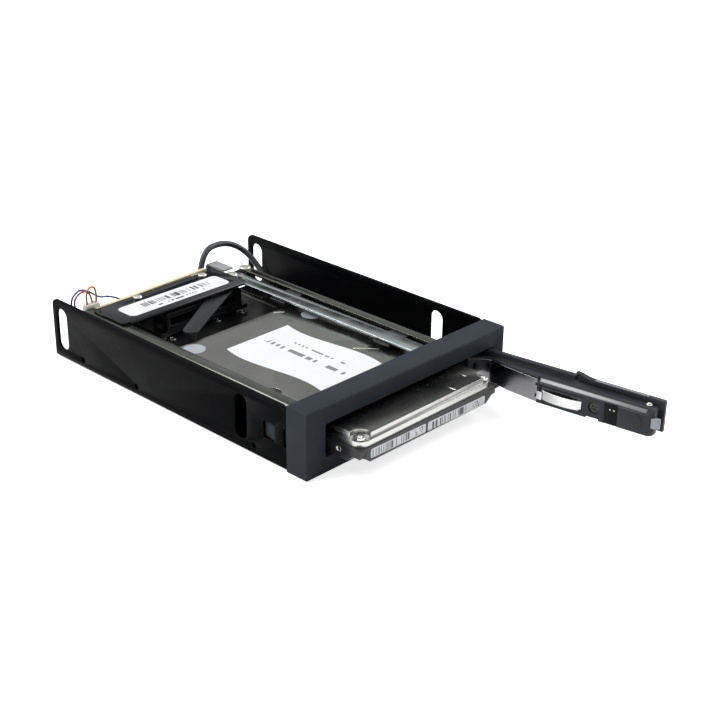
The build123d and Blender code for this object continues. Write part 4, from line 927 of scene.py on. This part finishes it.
@dataclass
class Drive:
    """The disk drive's lid, base, screws, seals, marks and labels."""

    left: float = -39.475
    right: float = 30.375
    front: float = -82.5
    back: float = 17.95
    rim_bottom: float = 11.8
    rim_top: float = 14.1
    top: float = 16.0
    lid_margin: float = 0.875
    lid_gap: float = 0.5
    lid_corner: float = 4.0
    plateau_inset: float = 1.2
    plateau_back: float = 2.6
    lid_edge: float = 0.4
    scoop_radii: tuple[float, float] = (3.7, 2.5)
    scoop_height: float = 4.0
    corner_fill: float = 4.4
    corner_level: float = 7.2
    undercut_radii: tuple[float, float] = (5.0, 2.0)
    undercut_height: float = 2.4
    undercut_inset: float = 1.0
    undercut_level: float = 7.69
    base_edge: float = 0.25
    screws_at: tuple[Spot, ...] = ((-35.9, -79.3), (27.4, -79.3), (-35.6, -36.3), (26.6, -36.3))
    screw_radius: float = 1.6
    screw_height: float = 0.8
    socket_share: float = 0.55
    socket_depth: float = 0.5
    screw_edge: float = 0.15
    sunk: float = 0.02
    seals_at: tuple[Spot, ...] = ((22.0, 2.2), (-31.3, 9.6))
    seal_radius: float = 4.3
    seal_height: float = 0.1
    seal_ring: float = 0.4
    seal_dip: float = 0.03
    seal_edge: float = 0.03
    bars: tuple[tuple[Spot, Spot, float], ...] = (
        ((12.6, 14.0), (16.3, 11.7), 0.9),
        ((10.7, -30.6), (17.3, -38.0), 0.8),
        ((22.5, -70.9), (22.0, -75.5), 0.7),
        ((11.2, -76.3), (11.2, -80.0), 0.6),
    )
    bar_edge: float = 0.05
    dots_across: tuple[float, ...] = (1.9, 7.0, 11.8, 15.3)
    dots_along: float = -70.3
    dot_radius: float = 0.45
    dot_edge: float = 0.04
    insert_inset: float = 0.5
    insert_back: float = 9.85
    insert_level: float = 9.5
    insert_radius: float = 1.28
    insert_height: float = 0.45
    insert_socket: Spot = (0.45, 0.3)
    insert_edge: float = 0.06
    label_spans: tuple[Spot, ...] = ((-34.3, -7.0), (-6.0, 24.6))
    label_level: float = 9.3
    label_height: float = 3.4
    label_corner: float = 0.6
    label_tilt: float = -1.0
    label_edge: float = 0.05
    sheet: float = 0.12

    def lid(self, shop: Workshop) -> None:
        """Presses the lid: a rim with round corners, a raised plateau, and scoops at the screws."""
        margin = self.lid_margin
        low = (self.left + margin, self.front + self.lid_gap, self.rim_bottom)
        high = (self.right - margin, self.back - self.lid_gap, self.rim_top)
        piece = Bench.block(low, high)
        Bench.round_corners(piece, 2, self.lid_corner, 8)
        middle = (Vector(low) + Vector(high)) / 2
        face = Vector((middle.x, middle.y, self.rim_top))
        Bench.push_face(piece, face, self.plateau_inset, (0, 0, self.top - self.rim_top))
        rear = self.back - self.lid_gap - self.plateau_inset - self.lid_corner
        step = (0, -(self.plateau_back - self.plateau_inset), 0)
        Bench.move(piece, lambda p: p.y > rear and p.z > self.top - NEAR, step)
        for x, y in self.screws_at:
            radius = self.scoop_radii[0] if x < 0 else self.scoop_radii[1]
            scoop = Bench.disc((x, y, self.rim_top), radius, self.scoop_height, sides=48)
            Bench.combine(piece, scoop, "DIFFERENCE")
        Bench.soften(piece, self.lid_edge, 3)
        Bench.stand_in(shop, piece, "drive_cover")

    def base(self, shop: Workshop) -> None:
        """Fills the base's front corners and rounds them up from below."""
        piece = Bench.merged_copy(shop, "drive_base")
        for x, side in ((self.left, 1), (self.right, -1)):
            reach = x + side * self.corner_fill
            low = (min(x, reach), self.front, self.corner_level)
            high = (max(x, reach), self.front + self.corner_fill, self.rim_bottom)
            Bench.combine(piece, Bench.block(low, high), "UNION")
            bpy.ops.mesh.primitive_cone_add(
                radius1=self.undercut_radii[0] * MM,
                radius2=self.undercut_radii[1] * MM,
                depth=self.undercut_height * MM,
                vertices=32,
                location=millimetres(x, self.front + self.undercut_inset, self.undercut_level),
            )
            Bench.combine(piece, Bench.settle(bpy.context.object), "DIFFERENCE")
        Bench.soften(piece, self.base_edge)
        Bench.stand_in(shop, piece, "drive_base")

    def screws(self, shop: Workshop) -> None:
        """Sets the lid's screws, each a domed head with a socket."""
        socket = (self.screw_radius * self.socket_share, self.socket_depth)
        heads = []
        for x, y in self.screws_at:
            heads.append(Bench.head((x, y, self.rim_top), self.screw_radius, self.screw_height, socket))
        piece = Bench.soften(Bench.joined(heads), self.screw_edge)
        Bench.stand_in(shop, piece, "cover_screws")

    def marks(self, shop: Workshop) -> None:
        """Adds the foil seals, pressed bars and dots on the lid, and the insert in the drive's side."""
        foot = self.top - self.sunk
        for index, (x, y) in enumerate(self.seals_at):
            seal = Bench.disc((x, y, foot), self.seal_radius, self.seal_height)
            Bench.mark(seal, lambda p: p.z > foot + self.seal_height - NEAR, "FACE")
            bpy.ops.mesh.inset(thickness=self.seal_ring * MM, depth=self.seal_dip * MM)
            bpy.ops.object.mode_set(mode="OBJECT")
            shop.seat(Bench.soften(seal, self.seal_edge), f"lid_seal_{index}", "drive", "bolt_grey")
        for index, (start, end, width) in enumerate(self.bars):
            run = Vector(end) - Vector(start)
            middle = (Vector(start) + Vector(end)) / 2
            centre = Vector(millimetres(middle.x, middle.y, self.top + self.sunk))
            bar = Bench.plate((run.length, width, self.sheet), atan2(run.y, run.x), centre)
            shop.seat(Bench.soften(bar, self.bar_edge), f"lid_bar_{index}", "drive", "screw_nickel")
        for index, x in enumerate(self.dots_across):
            dot = Bench.disc((x, self.dots_along, foot), self.dot_radius, self.sheet, sides=16)
            shop.seat(Bench.soften(dot, self.dot_edge), f"lid_dot_{index}", "drive", "screw_black")
        foot = (self.left + self.insert_inset, self.front + self.insert_back, self.insert_level)
        facing = (-1, 0, 0)
        insert = Bench.head(foot, self.insert_radius, self.insert_height, self.insert_socket, facing)
        shop.seat(Bench.soften(insert, self.insert_edge), "side_insert", "drive", "screw_nickel")

    def front_labels(self, shop: Workshop) -> None:
        """Sticks the two narrow labels on the drive's front face."""
        pieces = []
        tilt = radians(self.label_tilt)
        for low, high in self.label_spans:
            middle = (low + high) / 2
            level = self.label_level + tan(tilt) * (middle - self.label_spans[0][0])
            label = Bench.plate((high - low, self.sheet, self.label_height))
            Bench.round_corners(label, 1, self.label_corner, 4)
            label.rotation_euler = (0, -tilt, 0)
            label.location = millimetres(middle, self.front - self.sheet / 2, level)
            pieces.append(Bench.settle(label))
        piece = Bench.soften(Bench.joined(pieces), self.label_edge, 1)
        Bench.stand_in(shop, piece, "front_labels")

    def build(self, shop: Workshop) -> None:
        """Builds every piece of the drive."""
        self.lid(shop)
        self.base(shop)
        self.screws(shop)
        self.marks(shop)
        self.front_labels(shop)


@dataclass
class Door:
    """The hinged door: its shell, latch lever, spring, window and small fittings."""

    pivot: Point = (35.9, -63.3, 0.0)
    along: Point = (0.1409, -0.99, 0.0)
    outward: Point = (0.99, 0.1409, 0.0)
    inner: float = -1.64
    body_top: float = 16.3
    plate_end: float = 39.85
    plate_edges: tuple[Spot, ...] = ((0.0, 4.2), (1.4, 3.9))
    plate_shift: float = 3.25
    edge_near: float = 0.12
    pocket: Spot = (32.0, 50.0)
    pocket_depth: float = 0.6
    pocket_near: float = 0.05
    shell_edge: float = 0.15
    spring_drop: float = 0.6
    spring_edge: float = 0.05
    lever_start: float = 40.2
    lever_shift: float = 1.5
    thumb_end: float = 52.2
    tail_start: float = 75.8
    tail_shift: Point = (0.0, -1.0, 0.0)
    lever_edge: float = 0.18
    shade_sheet_box: Box = ((33.0, 0.5, 8.4), (48.9, 0.59, 13.0))
    shade_sheet_edge: float = 0.03
    window_box: Box = ((58.05, -0.03, 6.65), (62.95, 1.1, 14.35))
    window_edge: float = 0.12
    tab_box: Box = ((31.5, -0.28, 8.1), (33.6, 0.02, 11.2))
    tab_edge: float = 0.08
    crest_box: Box = ((50.6, 6.39, 18.05), (71.0, 7.84, 18.13))
    crest_edge: float = 0.02
    spot_reaches: Spot = (60.2, 61.7)
    spot_level: float = 12.35
    spot_radius: float = 0.34
    spot_height: float = 0.1
    spot_sunk: float = 0.02
    spot_edge: float = 0.03
    pin_place: Spot = (72.6, 2.46)
    pin_radius: float = 1.1
    pin_height: float = 0.5
    pin_socket: Spot = (0.35, 0.18)
    pin_edge: float = 0.08
    strip_size: Point = (41.2, 1.4, 0.12)
    strip_reach: float = 52.7
    strip_inset: float = 1.05
    strip_edge: float = 0.05

    def place(self, reach: float, depth: float, level: float) -> Point:
        """Gives a point of the door in the frame, in millimetres.

        Args:
            reach: Distance from the hinge along the door.
            depth: Distance towards its outer face.
            level: Height.

        Returns:
            The point.
        """
        spot = Vector(self.pivot) + reach * Vector(self.along) + depth * Vector(self.outward)
        return (spot.x, spot.y, level)

    def measures(self, spot: Vector) -> Point:
        """Turns a place in the frame into reach, depth and level, in millimetres."""
        arm = spot - Vector(self.pivot)
        return (arm.dot(Vector(self.along)), arm.dot(Vector(self.outward)), spot.z)

    def block(self, box: Box) -> Piece:
        """Adds a block between two corners given as reach, depth beyond the inner face, and level."""
        low, high = ((reach, self.inner + depth, level) for reach, depth, level in box)
        middle = [(first + second) / 2 for first, second in zip(low, high)]
        turn = atan2(self.along[1], self.along[0])
        return Bench.block(low, high, turn, Vector(millimetres(*self.place(*middle))))

    def shell(self, shop: Workshop) -> None:
        """Carries the face plate on under the lever's thumb, and lowers the spring's pocket."""
        piece = Bench.merged_copy(shop, "door_shell")

        def at_end(spot: Vector) -> bool:
            """Picks the plate's end and the foot of its slope."""
            reach, depth, _ = self.measures(spot)
            past = reach - self.plate_end
            near = self.edge_near
            return any(abs(past - beyond) < near and depth > least for beyond, least in self.plate_edges)

        def at_pocket(spot: Vector) -> bool:
            """Picks the pocket's floor."""
            reach, depth, _ = self.measures(spot)
            within = self.pocket[0] < reach < self.pocket[1]
            return within and abs(depth - self.inner - self.pocket_depth) < self.pocket_near

        Bench.move(piece, at_end, tuple(self.plate_shift * part for part in self.along))
        Bench.move(piece, at_pocket, (0.0, 0.0, -self.spring_drop))
        Bench.soften(piece, self.shell_edge)
        Bench.stand_in(shop, piece, "door_shell")

    def lever(self, shop: Workshop) -> None:
        """Moves the lever's thumb and tail to their places."""
        piece = Bench.merged_copy(shop, "latch_lever")
        share = self.lever_shift / (self.thumb_end - self.lever_start)
        for vertex in piece.data.vertices:
            reach = self.measures(vertex.co / MM)[0]
            if reach < self.thumb_end:
                vertex.co += Vector(self.along) * (self.thumb_end - reach) * share * MM
        Bench.move(piece, lambda spot: self.measures(spot)[0] > self.tail_start, self.tail_shift)
        Bench.soften(piece, self.lever_edge, 3)
        Bench.stand_in(shop, piece, "latch_lever")

    def spring(self, shop: Workshop) -> None:
        """Lowers the leaf spring to its place over a dark sheet, which is painted shade in its pocket."""
        piece = Bench.merged_copy(shop, "leaf_spring")
        Bench.move(piece, lambda spot: True, (0.0, 0.0, -self.spring_drop))
        Bench.stand_in(shop, Bench.soften(piece, self.spring_edge, 1), "leaf_spring")
        # Painted shade: a thin dark sheet in the spring's pocket stands for the shadow there.
        shade_sheet = Bench.soften(self.block(self.shade_sheet_box), self.shade_sheet_edge, 1)
        shop.seat(shade_sheet, "spring_shade_sheet", "door", "connector_black")

    def window(self, shop: Workshop) -> None:
        """Sets the dark window with its two light spots."""
        window = Bench.soften(self.block(self.window_box), self.window_edge)
        Bench.stand_in(shop, window, "light_window")
        spots = []
        facing = tuple(-part for part in self.outward)
        for reach in self.spot_reaches:
            foot = self.place(reach, self.inner + self.spot_sunk, self.spot_level)
            spot = Bench.disc(foot, self.spot_radius, self.spot_height, facing, 20)
            spots.append(Bench.soften(spot, self.spot_edge, 1))
        Bench.stand_in(shop, Bench.joined(spots), "light_pipes")

    def fittings(self, shop: Workshop) -> None:
        """Adds the pin's head, the spring's tab, and lighter glossy strips of painted highlight on the door's
        bevel and the lever's crest.
        """
        foot = self.place(*self.pin_place, self.body_top)
        head = Bench.head(foot, self.pin_radius, self.pin_height, self.pin_socket)
        shop.seat(Bench.soften(head, self.pin_edge), "pin_head", "door", "screw_nickel")
        tab = Bench.soften(self.block(self.tab_box), self.tab_edge)
        shop.seat(tab, "spring_tab", "door", "pin_steel")
        # Painted highlight: thin lighter strips laid on the door's chamfer and along the lever's crest.
        strip = Bench.plate(self.strip_size)
        strip.rotation_euler = Euler((radians(45), 0, atan2(self.along[1], self.along[0])))
        inset = self.strip_inset
        strip.location = millimetres(*self.place(self.strip_reach, self.inner + inset, self.body_top - inset))
        strip = Bench.soften(Bench.settle(strip), self.strip_edge)
        crest = Bench.soften(self.block(self.crest_box), self.crest_edge, 1)
        for piece, name, body, slot in (
            (strip, "painted_bevel_highlight", "door", "door_plastic"),
            (crest, "lever_crest_highlight", "latch_lever", "lever_coat"),
        ):
            shop.dress(piece, shop.materials["painted_bevel_highlight"])
            shop.seat(piece, name, body, slot)

    def build(self, shop: Workshop) -> None:
        """Builds every piece of the door."""
        self.shell(shop)
        self.lever(shop)
        self.spring(shop)
        self.window(shop)
        self.fittings(shop)


@dataclass
class Rear:
    """The rear end: the upright board, its white connector, the dark film and its screws."""

    board_middle: float = -10.0
    board_top: float = 19.8
    board_tips: Spot = (-0.8, 0.5)
    board_edge: float = 0.08
    connector_middle: float = -38.4
    connector_narrowing: float = 0.88
    connector_drop: float = 1.2
    connector_edge: float = 0.25
    film_box: Box = ((-41.5, 19.0, 6.01), (31.5, 64.5, 6.12))
    film_edge: float = 0.03
    screws_at: tuple[Spot, ...] = ((20.0, 40.6), (7.1, 40.9), (-17.5, 39.6), (20.9, 47.4))
    screw_radius: float = 1.5
    screw_height: float = 0.32
    screw_sunk: float = 0.02
    screw_socket: Spot = (0.7, 0.18)
    screw_edge: float = 0.07

    def board(self, shop: Workshop) -> None:
        """Tips the board's top edge as the real one stands, and breaks its edges."""
        piece = Bench.merged_copy(shop, "backplane_board")
        top, middle = self.board_top, self.board_middle
        Bench.move(piece, lambda p: p.z > top and p.x < middle, (0, 0, self.board_tips[0]))
        Bench.move(piece, lambda p: p.z > top and p.x > middle, (0, 0, self.board_tips[1]))
        Bench.stand_in(shop, Bench.soften(piece, self.board_edge), "backplane_board")

    def connector(self, shop: Workshop) -> None:
        """Narrows and lowers the white connector."""
        piece = Bench.merged_copy(shop, "wire_connector")
        Bench.mark(piece, lambda p: True)
        centre = Vector(millimetres(self.connector_middle, 0, 0))
        bpy.ops.transform.resize(value=(self.connector_narrowing, 1, 1), center_override=centre)
        bpy.ops.transform.translate(value=(0, 0, -self.connector_drop * MM))
        bpy.ops.object.mode_set(mode="OBJECT")
        Bench.stand_in(shop, Bench.soften(piece, self.connector_edge), "wire_connector")

    def film(self, shop: Workshop) -> None:
        """Lays the dark insulating film on the cage floor and sets its screws."""
        film = Bench.soften(Bench.block(*self.film_box), self.film_edge, 1)
        shop.seat(film, "insulating_film", "rack", "connector_black")
        level = self.film_box[1][2] - self.screw_sunk
        for index, (x, y) in enumerate(self.screws_at):
            head = Bench.head((x, y, level), self.screw_radius, self.screw_height, self.screw_socket)
            shop.seat(Bench.soften(head, self.screw_edge), f"film_screw_{index}", "rack", "screw_nickel")

    def build(self, shop: Workshop) -> None:
        """Builds every piece of the rear end."""
        self.board(shop)
        self.connector(shop)
        self.film(shop)


@dataclass
class Leads:
    """The wires between header and connector, and the sleeved cable to the power plug.

    Each route is listed from its own origin, in millimetres, with the points of the CAD source.
    """

    wire_diameter: float = 0.8
    cable_diameter: float = 2.5
    wire_origin: Point = (-45.8, 61.9, 21.8)
    cable_origin: Point = (19.85, 60.6, 19.9)
    wires: tuple[tuple[str, Route], ...] = (
        ("wire_orange", ((5.4, 0, -1.3), (4.7, 0, 5.5), (10.5, 0, 5.6), (9.6, 0, -1.3))),
        (
            "wire_red",
            (
                (6.3, 0.5, -9.0), (0, 0.5, -8.9), (0.4, 0.7, -2.9), (0.1, 0.9, 2.3),
                (3.9, 1.0, 4.5), (7.8, 1.0, 3.2), (8.5, 1.0, -1.3),
            ),
        ),
        (
            "wire_blue",
            (
                (6.3, 1.8, -7.4), (-0.6, 1.9, -7.5), (-0.4, 2.0, -2.1), (-0.3, 2.1, 2.4), (3.8, 2.1, 5.1),
                (8.2, 2.1, 3.0), (12.3, 1.9, -0.7), (17.6, 1.2, -1.2), (22.2, -0.6, -4.0),
            ),
        ),
    )
    cable: Route = (
        (-3.9, 1.4, -7.9), (-2.2, 2.8, 6.1), (12.4, 4.9, 6.8),
        (22.4, 2.7, 1.2), (25.0, -4.6, -7.2), (24.2, -12.4, -13.0),
    )

    @staticmethod
    def placed(origin: Point, offsets: Route) -> list[Point]:
        """Turns a route's offsets from its origin into places in the frame, in metres."""
        return [millimetres(*(start + step for start, step in zip(origin, offset))) for offset in offsets]

    def lead(self, shop: Workshop, node: str, points: list[Point], diameter: float) -> Piece:
        """Makes one lead as a smooth spline with a round section.

        Args:
            shop: The workshop.
            node: The CAD node that it replaces.
            points: Its route in metres.
            diameter: Its diameter in millimetres.

        Returns:
            The curve.
        """
        data = bpy.data.curves.new(node + "_lead", "CURVE")
        data.dimensions = "3D"
        data.bevel_depth = diameter / 2 * MM
        data.bevel_resolution = 6
        data.use_fill_caps = True
        spline = data.splines.new("NURBS")
        spline.points.add(len(points) - 1)
        for target, point in zip(spline.points, points):
            target.co = (*point, 1.0)
        spline.order_u = 3
        spline.use_endpoint_u = True
        spline.resolution_u = 12
        piece = bpy.data.objects.new(data.name, data)
        bpy.context.scene.collection.objects.link(piece)
        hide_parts(node)
        return shop.seat(piece, data.name, shop.body_of[node], shop.slot_of[node])

    def build(self, shop: Workshop) -> None:
        """Makes every lead."""
        routes = {node: self.placed(self.wire_origin, offsets) for node, offsets in self.wires}
        routes["sleeved_cable"] = self.placed(self.cable_origin, self.cable)
        for node, points in routes.items():
            diameter = self.cable_diameter if node == "sleeved_cable" else self.wire_diameter
            self.lead(shop, node, points, diameter)


BROKEN_EDGES = {
    "bay_frame": 0.15,
    "front_bezel": 0.2,
    "drive_cage": 0.12,
    "rear_cross_plate": 0.12,
    "link_bar": 0.12,
    "latch_bolt": 0.25,
    "drive_receptacle": 0.15,
    "rear_socket": 0.15,
    "wire_header": 0.2,
    "ejector_lever": 0.12,
    "board_bracket": 0.1,
    "plate_screws": 0.1,
    "lock_screw": 0.1,
    "link_rivet": 0.1,
    "cage_standoffs": 0.12,
    "hinge_pin": 0.1,
}


def main() -> None:
    """Builds the studio, dresses the CAD model and adds its fittings."""
    logging.basicConfig(level=logging.INFO, format="%(name)s: %(message)s")
    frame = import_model()
    bpy.ops.object.select_all(action="DESELECT")
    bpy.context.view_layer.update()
    Studio().build()
    shop = Workshop(frame)
    shop.dress_nodes()
    for node, width in BROKEN_EDGES.items():
        Bench.break_edges(shop, node, width)
    Drive().build(shop)
    Door().build(shop)
    Rear().build(shop)
    Leads().build(shop)


if __name__ == "__main__":
    main()
